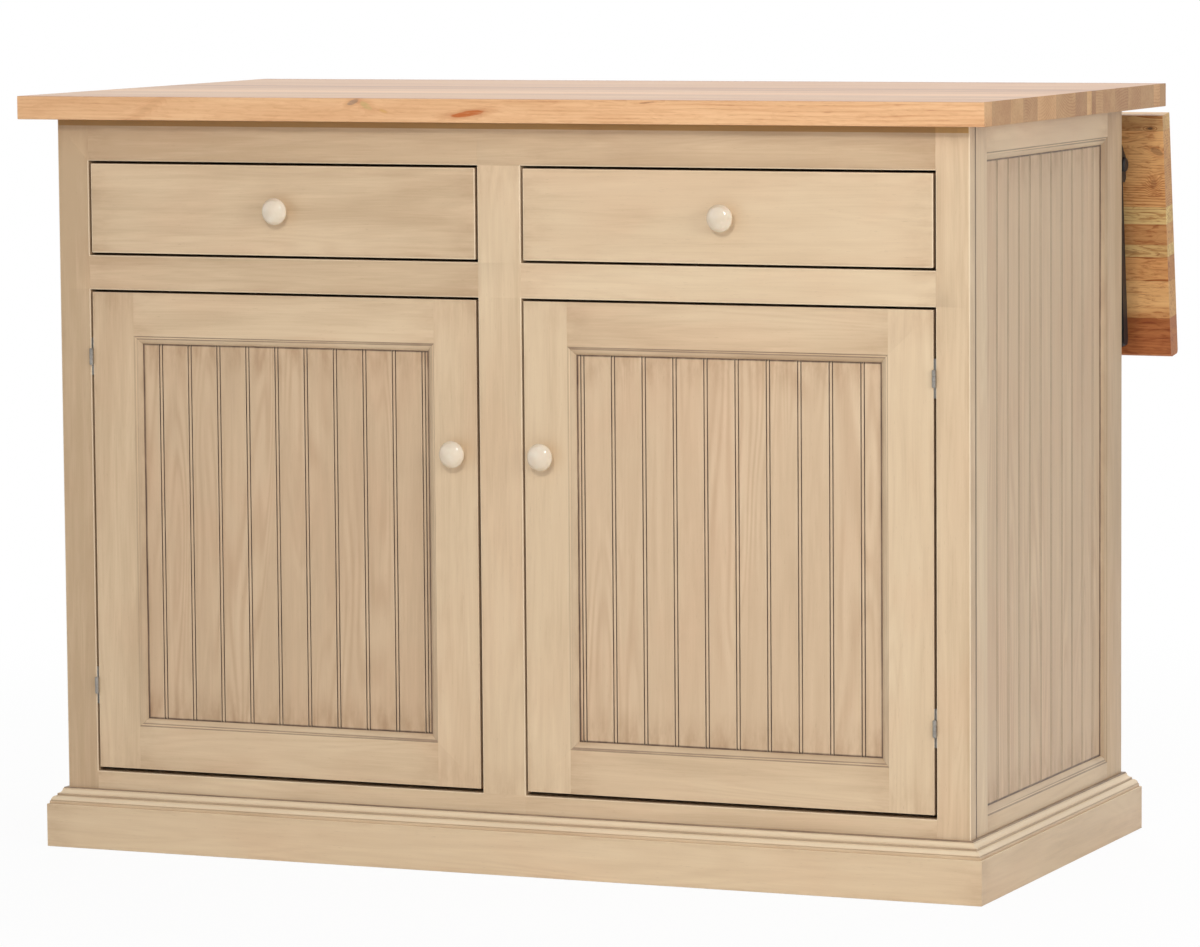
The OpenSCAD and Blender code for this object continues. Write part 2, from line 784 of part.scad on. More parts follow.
module drawer_box(s) {
    groove_x = box_t - box_groove_d - fit / 2;
    color(birch) difference() {
        translate([s * drawer_x - box_w / 2, box_y0, box_z0]) {
            for (x = [0, box_w - box_t]) translate([x, 0, 0]) cube([box_t, box_len, box_h]);
            for (y = [0, box_len - box_t])
                translate([box_t + seam, y, 0]) cube([box_w - 2 * box_t - 2 * seam, box_t, box_h]);
        }
        translate([s * drawer_x - box_w / 2 + groove_x, box_y0 + groove_x, box_z0 + box_bottom_z])
            cube([box_w - 2 * groove_x, box_len - 2 * groove_x, box_bottom_t + fit]);
    }
}

module drawer_knob(s) {
    color(ivory) translate([s * drawer_x, front_y, (drawer_foot + drawer_top) / 2]) knob();
}

module left_drawer_front() drawer_front(-1);

module right_drawer_front() drawer_front(1);

module left_drawer_box() drawer_box(-1);

module right_drawer_box() drawer_box(1);

module left_drawer_bottom() drawer_bottom(-1);

module right_drawer_bottom() drawer_bottom(1);

module left_drawer_knob() drawer_knob(-1);

module right_drawer_knob() drawer_knob(1);

// ---- doors, drawn as the right one, whose hinges are on the right ----

door_bars = [door_stile_w, door_stile_w, door_rail_h, door_rail_h];

module at_right_door() {
    translate([open_in + reveal, front_y, door_z0]) children();
}

module door_stiles() {
    color(cream) at_right_door()
        frame_stiles(door_w, door_h, front_t, door_bars);
}

module door_rails() {
    color(cream) at_right_door()
        frame_rails(door_w, door_h, front_t, door_bars);
}

module door_panel() {
    color(panel_tan) at_right_door()
        bead_panel(door_w, door_h, door_bars, door_bead_first);
}

module door_knob() {
    color(ivory) translate([open_in + reveal + door_knob_inset, front_y, door_knob_z]) knob();
}

knuckle_l = hinge_barrel_l / 3;

// One knuckle of a door hinge, from z0 to z1 about the hinge's middle, with
// the neck that joins it to its leaf on side s of the gap
module door_knuckle(s, z0, z1) {
    difference() {
        union() {
            translate([0, 0, z0]) cylinder(d = hinge_barrel_d, h = z1 - z0);
            translate([s > 0 ? knuckle_gap / 2 : -reveal / 2, 0, z0])
                cube([reveal / 2 - knuckle_gap / 2, front_y + leaf_set_back + 1 - hinge_y, z1 - z0]);
        }
        translate([0, 0, z0 - 1]) cylinder(d = hinge_pin_d + 2 * run, h = z1 - z0 + 2);
    }
}

// Plate of a door hinge in the gap, against the wood on side s
module door_hinge_plate(s) {
    x = s > 0 ? reveal / 2 - hinge_leaf_t : -reveal / 2;
    translate([x, front_y + leaf_set_back - hinge_y, -hinge_leaf_h / 2])
        cube([hinge_leaf_t, hinge_leaf_d, hinge_leaf_h]);
}

module at_right_hinges() {
    for (z = hinge_zs) translate([hinge_x, hinge_y, z]) children();
}

module hinge_frame_leaves_right() {
    at_right_hinges() {
        door_knuckle(1, knuckle_l / 2 + knuckle_gap / 2, 1.5 * knuckle_l);
        door_knuckle(1, -1.5 * knuckle_l, -knuckle_l / 2 - knuckle_gap / 2);
        door_hinge_plate(1);
    }
}

module door_hinge_leaves() {
    color(steel) at_right_hinges() {
        door_knuckle(-1, -knuckle_l / 2 + knuckle_gap / 2, knuckle_l / 2 - knuckle_gap / 2);
        door_hinge_plate(-1);
    }
}

module door_hinge_frame_leaves() {
    color(steel) for (m = [0, 1]) mirror([m, 0, 0]) hinge_frame_leaves_right();
}

module door_hinge_pins() {
    tip = 1;
    color(steel) for (m = [0, 1]) mirror([m, 0, 0]) at_right_hinges() {
        translate([0, 0, -1.5 * knuckle_l - tip / 2]) cylinder(d = hinge_pin_d, h = 3 * knuckle_l + tip);
        for (z = [-1.5 * knuckle_l - tip, 1.5 * knuckle_l])
            translate([0, 0, z]) cylinder(d = hinge_barrel_d - 0.6, h = tip);
    }
}

module right_door_stiles() door_stiles();

module right_door_rails() door_rails();

module right_door_panel() door_panel();

module right_door_knob() door_knob();

module right_door_hinge_leaves() door_hinge_leaves();

module left_door_stiles() mirror([1, 0, 0]) door_stiles();

module left_door_rails() mirror([1, 0, 0]) door_rails();

module left_door_panel() mirror([1, 0, 0]) door_panel();

module left_door_knob() mirror([1, 0, 0]) door_knob();

module left_door_hinge_leaves() mirror([1, 0, 0]) door_hinge_leaves();

// ---- drop leaf and its hinges ----

// Hinge frame of the leaf, level or hanging
module at_leaf_axis() {
    translate([0, axis_y, axis_z]) children();
}

module in_hanging_leaf() {
    at_leaf_axis() rotate([-leaf_hang, 0, 0]) children();
}

module drop_leaf() {
    color(leaf_wood) difference() {
        in_hanging_leaf() along_x(-top_w / 2, top_w / 2)
            translate([leaf_u0, leaf_v0]) slab_outline(leaf_w, top_t, top_edge_r, leaf_edge_r);
        at_drop_flap_screws() screw_hole(flap_t + flap_gap);
        at_arm_screws() screw_hole(support_sheet);
    }
}

segment_l = leaf_hinge_l / knuckles;

// Half of a leaf hinge: its flap lies on side s of the axis, its knuckles
// are the segments listed in turns
module leaf_hinge_half(s, deep, drop, turns) {
    v0 = -leaf_axis_up - flap_t - drop;
    difference() {
        union() {
            translate([-leaf_hinge_l / 2, s > 0 ? hinge_clear : -deep, v0])
                cube([leaf_hinge_l, deep - hinge_clear, flap_t]);
            for (i = turns) translate([-leaf_hinge_l / 2 + i * segment_l + knuckle_gap / 2, 0, 0]) {
                rotate([0, 90, 0]) cylinder(d = knuckle_d, h = segment_l - knuckle_gap);
                translate([0, s > 0 ? 0 : -hinge_clear - 1, v0])
                    cube([segment_l - knuckle_gap, hinge_clear + 1, flap_t]);
            }
        }
        translate([-leaf_hinge_l / 2 - 1, 0, 0]) rotate([0, 90, 0])
            cylinder(d = leaf_pin_d + 2 * run, h = leaf_hinge_l + 2);
    }
}

module leaf_hinge_top_flaps() {
    color(steel) difference() {
        at_leaf_axis() for (x = leaf_hinge_xs) translate([x, 0, 0])
            leaf_hinge_half(-1, top_flap_d, 0, [0, 2, 4]);
        at_top_flap_screws() screw_hole(flap_t);
    }
}

// The flap under the leaf lies a hair lower, to pass under the worktop
module leaf_hinge_drop_flaps() {
    color(steel) difference() {
        in_hanging_leaf() for (x = leaf_hinge_xs) translate([x, 0, 0])
            leaf_hinge_half(1, drop_flap_d, flap_gap, [1, 3]);
        at_drop_flap_screws() screw_hole(flap_t + flap_gap);
    }
}

module leaf_hinge_pins() {
    color(steel) at_leaf_axis() for (x = leaf_hinge_xs)
        translate([x - leaf_hinge_l / 2, 0, 0]) rotate([0, 90, 0]) cylinder(d = leaf_pin_d, h = leaf_hinge_l);
}

// ---- folding leaf supports, drawn as the right one ----

module both_sides() {
    for (m = [0, 1]) mirror([m, 0, 0]) children();
}

// Plate on the cabinet's back with the ear that carries the brace's pivot
module support_plate() {
    ear_z = axis_z - pivot_down;
    ear_r = pivot_head_d / 2 + 3;
    ear_top = ear_z + ear_r;
    chamfer = 4;
    brow = 14;
    plate_z1 = plate_z0 + plate_h;
    difference() {
        union() {
            translate([plate_x0 + support_sheet - flange_w, back_y, plate_z0])
                cube([flange_w, support_sheet, plate_h]);
            along_x(plate_x0, plate_x0 + support_sheet) polygon([
                [back_y, plate_z0], [plate_y1 - chamfer, plate_z0],
                [plate_y1, plate_z0 + chamfer], [plate_y1, ear_top - chamfer],
                [plate_y1 - chamfer, ear_top], [back_y + brow, plate_z1], [back_y, plate_z1]]);
        }
        translate([plate_x0 - 1, axis_y - pivot_in, ear_z]) rotate([0, 90, 0])
            cylinder(d = support_pin_d + run, h = support_sheet + 2);
    }
}

module support_plates() {
    color(black) difference() {
        both_sides() support_plate();
        at_plate_screws() screw_hole(support_sheet);
    }
}

// Pivot of a brace, with its round outer head and a smaller inner one
module support_pivots() {
    bevel = 1.5;
    x0 = brace_x0 - plate_gap / 2 - pivot_washer_t;
    x1 = plate_x0 + support_sheet;
    color(black) both_sides() at_leaf_axis() translate([x0, pivot[0], pivot[1]]) rotate([0, 90, 0]) {
        cylinder(d = pin_head_d - 2, h = pivot_washer_t);
        cylinder(d = support_pin_d, h = x1 - x0 + 1);
        translate([0, 0, x1 - x0]) cylinder(d = pivot_head_d, h = pivot_head_t - bevel);
        translate([0, 0, x1 - x0 + pivot_head_t - bevel])
            cylinder(d1 = pivot_head_d, d2 = pivot_head_d - 2 * bevel, h = bevel);
    }
}

// Angle on the leaf's underside; its web has the curved slot of the pin
module support_arm() {
    steps = [for (i = [0 : slot_steps]) i / slot_steps];
    ends = [slot_pt(0), slot_pt(1)];
    toe_h = 12;
    difference() {
        union() {
            translate([support_x - flange_w, arm_u0, leaf_v0 - support_sheet])
                cube([flange_w, arm_u1 - arm_u0, support_sheet]);
            along_x(support_x - support_sheet, support_x) {
                polygon(concat([[arm_u0, leaf_v0]], [[arm_u0, leaf_v0 - toe_h]],
                    [for (i = [slot_steps : -1 : 0]) slot_side(i / slot_steps, arm_r)],
                    [[arm_u1, -pin_hung_v], [arm_u1, leaf_v0]]));
                for (p = ends) translate(p) circle(arm_r);
            }
        }
        along_x(support_x - support_sheet - 1, support_x + 1) {
            polygon(concat([for (t = steps) slot_side(t, slot_r)],
                [for (i = [slot_steps : -1 : 0]) slot_side(i / slot_steps, -slot_r)]));
            for (p = ends) translate(p) circle(slot_r);
        }
    }
}

module support_arms() {
    color(black) difference() {
        in_hanging_leaf() both_sides() support_arm();
        at_arm_screws() screw_hole(support_sheet);
    }
}

// Brace between the cabinet's pivot and the slot, with its sliding pin
module brace() {
    head_x0 = support_x - support_sheet - plate_gap - pin_head_t;
    color(black) at_leaf_axis() difference() {
        translate([0, pivot[0], pivot[1]]) rotate([brace_hung_a, 0, 0]) {
            translate([brace_x0, 0, -brace_w / 2]) cube([brace_t, brace_len, brace_w]);
            for (y = [0, brace_len]) translate([brace_x0, y, 0]) rotate([0, 90, 0])
                cylinder(d = brace_w, h = brace_t);
            translate([head_x0, brace_len, 0]) rotate([0, 90, 0]) {
                cylinder(d = support_pin_d, h = brace_x0 - head_x0 + 1);
                cylinder(d = pin_head_d, h = pin_head_t);
            }
        }
        translate([brace_x0 - 1, pivot[0], pivot[1]]) rotate([0, 90, 0])
            cylinder(d = support_pin_d + 2 * run, h = brace_t + 2);
    }
}

module right_brace() brace();

module left_brace() mirror([1, 0, 0]) brace();

module cabinet_screws() {
    color(black) {
        at_top_flap_screws() screw(flap_t);
        at_plate_screws() screw(support_sheet);
    }
}

module leaf_screws() {
    color(black) {
        at_drop_flap_screws() screw(flap_t + flap_gap);
        at_arm_screws() screw(support_sheet);
    }
}

worktop();
face_stile_left();
face_stile_right();
face_stile_center();
face_rail_top();
face_rails_middle();
face_rail_bottom();
left_side_frame();
left_side_panel();
right_side_frame();
right_side_panel();
back_frame();
back_panels();
bottom_deck();
center_partition();
shelf_left();
shelf_right();
shelf_pins();
top_stretchers();
plinth_front_and_back();
plinth_sides();
cap_molding_front_and_back();
cap_molding_sides();
slide_blocks();
slide_case_members();
door_hinge_frame_leaves();
door_hinge_pins();
leaf_hinge_top_flaps();
leaf_hinge_pins();
support_plates();
support_pivots();
left_door_stiles();
left_door_rails();
left_door_panel();
left_door_knob();
left_door_hinge_leaves();
right_door_stiles();
right_door_rails();
right_door_panel();
right_door_knob();
right_door_hinge_leaves();
left_drawer_front();
left_drawer_box();
left_drawer_bottom();
left_drawer_knob();
left_drawer_slide_members();
right_drawer_front();
right_drawer_box();
right_drawer_bottom();
right_drawer_knob();
right_drawer_slide_members();
left_slide_middles();
right_slide_middles();
drop_leaf();
leaf_hinge_drop_flaps();
support_arms();
left_brace();
right_brace();
cabinet_screws();
leaf_screws();
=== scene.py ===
import math
import random

import bmesh
import bpy
from mathutils import Matrix, Vector


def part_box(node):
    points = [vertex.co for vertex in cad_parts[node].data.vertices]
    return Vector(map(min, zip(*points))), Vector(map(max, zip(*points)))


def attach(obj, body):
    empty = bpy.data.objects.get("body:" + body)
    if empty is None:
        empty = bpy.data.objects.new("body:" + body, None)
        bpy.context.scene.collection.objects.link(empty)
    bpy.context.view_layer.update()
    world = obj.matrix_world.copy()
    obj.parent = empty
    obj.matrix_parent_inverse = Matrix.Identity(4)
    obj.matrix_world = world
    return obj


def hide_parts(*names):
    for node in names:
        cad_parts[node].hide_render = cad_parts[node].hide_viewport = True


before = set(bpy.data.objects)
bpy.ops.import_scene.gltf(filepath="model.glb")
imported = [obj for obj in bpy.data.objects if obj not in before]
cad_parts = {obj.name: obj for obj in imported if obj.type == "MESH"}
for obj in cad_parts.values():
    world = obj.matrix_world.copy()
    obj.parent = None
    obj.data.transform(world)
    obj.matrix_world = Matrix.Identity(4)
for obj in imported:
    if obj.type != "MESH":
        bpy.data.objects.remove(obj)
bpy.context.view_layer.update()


# The view: a long lens from the front right, a little above the worktop's
# middle, as far off as the photograph's lines meet.
view_azimuth = math.radians(23.256)
view_elevation = math.radians(5.695)
view_roll = math.radians(-0.469)
view_distance = 6.6304
focal_pixels, photo_width, sensor_width = 5694.4, 1200, 36.0
cabinet_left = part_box("left_side_frame")[0].x
cabinet_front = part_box("face_rail_top")[0].y
aim = Vector((cabinet_left + 0.7086, cabinet_front, 0.4779))
forward = Vector((-math.sin(view_azimuth) * math.cos(view_elevation),
                  math.cos(view_azimuth) * math.cos(view_elevation),
                  -math.sin(view_elevation)))
level_right = Vector((math.cos(view_azimuth), math.sin(view_azimuth), 0))
level_up = level_right.cross(forward)
right = math.cos(view_roll) * level_right + math.sin(view_roll) * level_up
up = math.cos(view_roll) * level_up - math.sin(view_roll) * level_right
lens = bpy.data.cameras.new("view")
lens.sensor_width = sensor_width
lens.lens = focal_pixels / photo_width * sensor_width
lens.clip_end = 50
camera = bpy.data.objects.new("view", lens)
camera.matrix_world = Matrix.Translation(aim - view_distance * forward) @ Matrix(
    (right, up, -forward)).transposed().to_4x4()
bpy.context.scene.collection.objects.link(camera)
bpy.context.scene.camera = camera
bpy.context.scene.view_settings.view_transform = "Standard"


# The finishes are built in the section of the piece that first wears them.
# A finish is one material; arithmetic on its wires adds Math nodes.
class Wire:
    """An output of one of a finish's nodes, which takes part in sums."""

    def __init__(self, finish, socket):
        self.finish, self.socket = finish, socket

    def math(self, operation, *others):
        return self.finish.add("ShaderNodeMath", {"operation": operation}, dict(enumerate((self,) + others)))

    def __add__(self, other):
        return self.math("ADD", other)

    def __sub__(self, other):
        return self.math("SUBTRACT", other)

    def __rsub__(self, other):
        return self.math("MULTIPLY", -1.0) + other

    def __mul__(self, other):
        return self.math("MULTIPLY", other)

    def __truediv__(self, other):
        return self.math("DIVIDE", other)

    __radd__, __rmul__ = __add__, __mul__

    def between(self, low, high):
        """0 below low and 1 above high, with a smooth step between."""
        return self.finish.add("ShaderNodeMapRange", {"interpolation_type": "SMOOTHSTEP"},
                               {"Value": self, "From Min": low, "From Max": high})


class Finish:
    """A material of one shader, made node by node."""

    def __init__(self, name, **constants):
        self.material = bpy.data.materials.new(name)
        self.material.use_nodes = True
        self.tree = self.material.node_tree
        self.shader = self.tree.nodes["Principled BSDF"]
        for socket, value in constants.items():
            self.shader.inputs[socket.replace("_", " ")].default_value = value

    def add(self, kind, settings, inputs, output=0):
        """Adds a node: its settings come first, then its sockets' values or wires."""
        node = self.tree.nodes.new(kind)
        for setting, value in settings.items():
            if setting == "stops":
                self.fill_ramp(node.color_ramp, value)
            else:
                setattr(node, setting, value)
        for socket, value in inputs.items():
            if isinstance(value, Wire):
                self.tree.links.new(value.socket, node.inputs[socket])
            else:
                node.inputs[socket].default_value = value
        return Wire(self, node.outputs[output])

    def fill_ramp(self, ramp, stops):
        for place, colour in stops[2:]:
            ramp.elements.new(place)
        for element, (place, colour) in zip(ramp.elements, stops):
            element.position = place
            element.color = colour

    def attribute(self, name, output="Fac"):
        return self.add("ShaderNodeAttribute", {"attribute_name": name}, {}, output)

    def stretch(self, vector, *scale):
        return self.add("ShaderNodeVectorMath", {"operation": "MULTIPLY"}, {0: vector, 1: scale})

    def parts(self, vector):
        return [self.add("ShaderNodeSeparateXYZ", {}, {"Vector": vector}, axis) for axis in "XYZ"]

    def noise(self, vector, scale, detail=2.0, roughness=0.5, distortion=0.0):
        return self.add("ShaderNodeTexNoise", {}, {"Vector": vector, "Scale": scale, "Detail": detail,
                                                   "Roughness": roughness, "Distortion": distortion})

    def ramp(self, factor, stops):
        return self.add("ShaderNodeValToRGB", {"stops": stops}, {"Fac": factor})

    def mix(self, factor, first, second, blend="MIX"):
        return self.add("ShaderNodeMix", {"data_type": "RGBA", "blend_type": blend},
                        {0: factor, 6: first, 7: second}, 2)

    def bump(self, height, distance, strength=1.0):
        return self.add("ShaderNodeBump", {}, {"Height": height, "Distance": distance, "Strength": strength})

    def wear(self, **wires):
        """Joins the finished wires to the shader and returns the material."""
        for socket, wire in wires.items():
            self.tree.links.new(wire.socket, self.shader.inputs[socket.replace("_", " ")])
        return self.material


def paint(red, green, blue):
    """A colour read off a swatch in 0 to 255, as the shader's linear colour."""
    def linear(level):
        share = level / 255
        return share / 12.92 if share <= 0.04045 else ((share + 0.055) / 1.055) ** 2.4
    return (linear(red), linear(green), linear(blue), 1.0)


# The studio: a white floor that fades into a white room, a small key in front,
# a broad box on the right, weak ones on the left and overhead behind, and pale
# light all round. Only the small spark is mirrored, in the knobs' glaze.
floor_fade = (0.9, 2.2)
floor_near_white = 0.94
floor_finish = Finish("studio_floor", Roughness=0.6)
floor_finish.shader.inputs["Base Color"].default_value = paint(245, 245, 245)
floor_seen = floor_finish.add("ShaderNodeLightPath", {}, {}, "Is Camera Ray")
floor_place = floor_finish.add("ShaderNodeTexCoord", {}, {}, "Object")
floor_reach = floor_finish.add("ShaderNodeVectorMath", {"operation": "LENGTH"}, {0: floor_place}, "Value")
floor_glow = floor_finish.add("ShaderNodeEmission", {}, {"Color": (1, 1, 1, 1), "Strength": 1.0})
floor_mix = floor_finish.add("ShaderNodeMixShader", {}, {
    0: floor_seen * (floor_reach.between(*floor_fade) * (1.0 - floor_near_white) + floor_near_white),
    1: Wire(floor_finish, floor_finish.shader.outputs[0]), 2: floor_glow})
floor_finish.tree.links.new(floor_mix.socket, floor_finish.tree.nodes["Material Output"].inputs["Surface"])
bpy.ops.mesh.primitive_plane_add(size=60, location=(0, 0, 0))
floor = bpy.context.object
floor.name = "studio_floor"
floor.data.materials.append(floor_finish.material)

room = bpy.data.worlds.new("room")
bpy.context.scene.world = room
room.use_nodes = True
room_nodes, room_links = room.node_tree.nodes, room.node_tree.links
room_light = room_nodes["Background"]
room_light.inputs["Color"].default_value = (1, 1, 1, 1)
room_light.inputs["Strength"].default_value = 0.38
room_white = room_nodes.new("ShaderNodeBackground")
room_white.inputs["Color"].default_value = (1, 1, 1, 1)
room_path = room_nodes.new("ShaderNodeLightPath")
room_seen = room_nodes.new("ShaderNodeMath")
room_seen.operation = "MAXIMUM"
room_mix = room_nodes.new("ShaderNodeMixShader")
room_links.new(room_path.outputs["Is Camera Ray"], room_seen.inputs[0])
room_links.new(room_path.outputs["Is Glossy Ray"], room_seen.inputs[1])
room_links.new(room_seen.outputs[0], room_mix.inputs[0])
room_links.new(room_light.outputs[0], room_mix.inputs[1])
room_links.new(room_white.outputs[0], room_mix.inputs[2])
room_links.new(room_mix.outputs[0], room_nodes["World Output"].inputs["Surface"])


def softbox(name, place, target, width, height, power, mirrored=False):
    lamp = bpy.data.lights.new(name, "AREA")
    lamp.shape = "RECTANGLE"
    lamp.size = width
    lamp.size_y = height
    lamp.energy = power
    holder = bpy.data.objects.new(name, lamp)
    holder.matrix_world = Matrix.Translation(place) @ (
        Vector(target) - Vector(place)).to_track_quat("-Z", "Y").to_matrix().to_4x4()
    bpy.context.scene.collection.objects.link(holder)
    holder.visible_glossy = mirrored


softbox("key", (0.9, -3.6, 2.0), (0.1, -0.3, 0.5), 0.55, 0.3, 36)
softbox("side", (3.4, -2.0, 1.5), (0.5, -0.1, 0.5), 1.8, 1.4, 37)
softbox("fill", (-2.4, -3.8, 1.4), (-0.2, -0.3, 0.5), 1.0, 0.5, 9)
softbox("spark", (1.6, -3.6, 2.6), (0.0, -0.3, 0.6), 0.4, 0.8, 14, True)
softbox("overhead", (0.2, 1.4, 2.8), (0.1, 0.1, 0.9), 1.6, 1.6, 34)


# The face frame: three stiles and four rails of maple, stained cream, with a
# brown glaze wiped into the pores and joints, under a satin lacquer.
def loose_boards(mesh):
    """The sets of face numbers of the boards that a mesh is made of."""
    parent = list(range(len(mesh.vertices)))

    def top(vertex):
        while parent[vertex] != vertex:
            parent[vertex] = parent[parent[vertex]]
            vertex = parent[vertex]
        return vertex

    for edge in mesh.edges:
        parent[top(edge.vertices[0])] = top(edge.vertices[1])
    boards = {}
    for face in mesh.polygons:
        boards.setdefault(top(face.vertices[0]), []).append(face.index)
    return sorted(boards.values(), key=lambda b: tuple(round(c, 4) for c in mesh.polygons[b[0]].center))


def lay_grain(piece, boards, lie=tuple, along=None, tones=None, lean=0.02):
    """Stores each board's own wood at its corners: the point in the log that it
    was cut from, its place on the board, the board's half size and its tone.
    lie gives a point's place in the piece's flat, and along the grain's axis."""
    mesh = piece.data
    for name in ("grain", "place", "half", "flat"):
        mesh.attributes.new(name, "FLOAT_VECTOR", "CORNER")
    mesh.attributes.new("board", "FLOAT", "CORNER")
    grain, place, half, flat, board = (
        mesh.attributes[name].data for name in ("grain", "place", "half", "flat", "board"))
    draw = random.Random(piece.name)
    for number, faces in enumerate(boards):
        corners = [(corner, lie(mesh.vertices[mesh.loops[corner].vertex_index].co))
                   for face in faces for corner in mesh.polygons[face].loop_indices]
        low = [min(point[i] for corner, point in corners) for i in range(3)]
        high = [max(point[i] for corner, point in corners) for i in range(3)]
        order = sorted(range(3), key=lambda i: low[i] - high[i])
        if along is not None:
            order.remove(along)
            order.insert(0, along)
        pith, turn, start = draw.uniform(0.03, 0.12), draw.uniform(0, 2 * math.pi), draw.uniform(1, 9)
        slope = draw.uniform(-lean, lean)
        tone = draw.uniform(0.35, 0.65)
        if tones:
            tone = tones[number % len(tones)]
        reach = [(high[i] - low[i]) / 2 for i in order]
        for corner, point in corners:
            own = [point[i] - (low[i] + high[i]) / 2 for i in order]
            grain[corner].vector = (start + own[0], pith * math.cos(turn) + own[1] + slope * own[0],
                                    pith * math.sin(turn) + own[2] + slope * own[0])
            place[corner].vector = own
            half[corner].vector = reach
            flat[corner].vector = point
            board[corner].value = tone
    return piece


weld_reach = 0.00001
sharp_turn = math.radians(44)
joint_reach = 0.0002
straight_run = 0.999
mitre_touch = 0.25


def board_boxes(*nodes):
    """The lowest and highest corner of each board of the given nodes."""
    boxes = []
    for node in nodes:
        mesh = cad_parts[node].data.copy()
        ends = bmesh.new()
        ends.from_mesh(mesh)
        bmesh.ops.remove_doubles(ends, verts=ends.verts, dist=weld_reach)
        ends.to_mesh(mesh)
        ends.free()
        for faces in loose_boards(mesh):
            points = [mesh.vertices[number].co for face in faces for number in mesh.polygons[face].vertices]
            boxes.append([[pick(point[axis] for point in points) for axis in range(3)] for pick in (min, max)])
    return boxes


def easing(edge, boards):
    """How much of the full easing a sharp edge gets: all of it in the open,
    none along a joint between two of the boards, and a touch on a mitre."""
    if len(edge.link_faces) != 2 or edge.calc_face_angle() < sharp_turn:
        return 0.0
    near, far = (vertex.co for vertex in edge.verts)
    middle = (near + far) / 2
    touching = [all(low[axis] - joint_reach < middle[axis] < high[axis] + joint_reach for axis in range(3))
                for low, high in boards]
    if sum(touching) < 2:
        return 1.0
    return 0.0 if max(abs(part) for part in (far - near).normalized()) > straight_run else mitre_touch


def copy_solid(node, ending, ease, segments=3, staves=(), joined=()):
    """A copy of a CAD node's solids, cut at the given planes and with its
    sharp edges eased, but for those in a joint between two of the boards."""
    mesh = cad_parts[node].data.copy()
    piece = bpy.data.objects.new(node + ending, mesh)
    bpy.context.scene.collection.objects.link(piece)
    bpy.ops.object.select_all(action="DESELECT")
    bpy.context.view_layer.objects.active = piece
    piece.select_set(True)
    bpy.ops.object.mode_set(mode="EDIT")
    bpy.ops.mesh.select_all(action="SELECT")
    bpy.ops.mesh.remove_doubles(threshold=weld_reach)
    bpy.ops.mesh.dissolve_limited(angle_limit=math.radians(0.5))
    for place, normal in staves:
        bpy.ops.mesh.select_all(action="SELECT")
        bpy.ops.mesh.bisect(plane_co=place, plane_no=normal)
    shape = bmesh.from_edit_mesh(mesh)
    weight = shape.edges.layers.float.new("bevel_weight_edge")
    for edge in shape.edges:
        edge[weight] = easing(edge, joined)
    bmesh.update_edit_mesh(mesh)
    bpy.ops.object.mode_set(mode="OBJECT")
    eased = piece.modifiers.new("eased", "BEVEL")
    eased.width = ease
    eased.segments = segments
    eased.limit_method = "WEIGHT"
    bpy.ops.object.modifier_apply(modifier=eased.name)
    bpy.ops.object.shade_smooth_by_angle(angle=math.radians(35))
    even = piece.modifiers.new("even", "WEIGHTED_NORMAL")
    even.keep_sharp = True
    bpy.ops.object.modifier_apply(modifier=even.name)
    mesh.materials.clear()
    return piece


def put_on(piece, finish, body, node):
    piece.data.materials.append(finish)
    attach(piece, body)
    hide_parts(node)
    return piece


# Levels below 0: eased edges paler from worn stain and a painted highlight, a painted shadow in the band under the
# worktop, and backs without glaze.
worn_highlit_edge, painted_shadow_under_top, bare_back = -0.45, -2.0, -0.001


def lay_glaze_and_painted_light(piece, shade):
    """Stores how much glaze stays on each face, from 0 up, or one of the levels
    below 0: an eased edge, paler from stain worn thin and a painted highlight,
    the band under the worktop, darkened as a painted shadow, or a back that took no glaze."""
    glaze = piece.data.attributes.new("glaze", "FLOAT", "CORNER")
    for face in piece.data.polygons:
        level = shade(face)
        # Eased edges: stain worn thin there, with a painted highlight along them.
        if level == 0.0 and max(abs(part) for part in face.normal) < 0.98:
            level = worn_highlit_edge
        for corner in face.loop_indices:
            glaze.data[corner].value = level


def dress_boards(node, body, finish, ease=0.0009, along=None, glaze=lambda face: 0.0,
                 joined=(), cuts=(), tones=None):
    """The boards of a CAD node with their edges eased by hand, in a finish."""
    piece = copy_solid(node, "_wood", ease, staves=cuts, joined=joined)
    lay_grain(piece, loose_boards(piece.data), along=along, tones=tones)
    lay_glaze_and_painted_light(piece, glaze)
    return put_on(piece, finish, body, node)
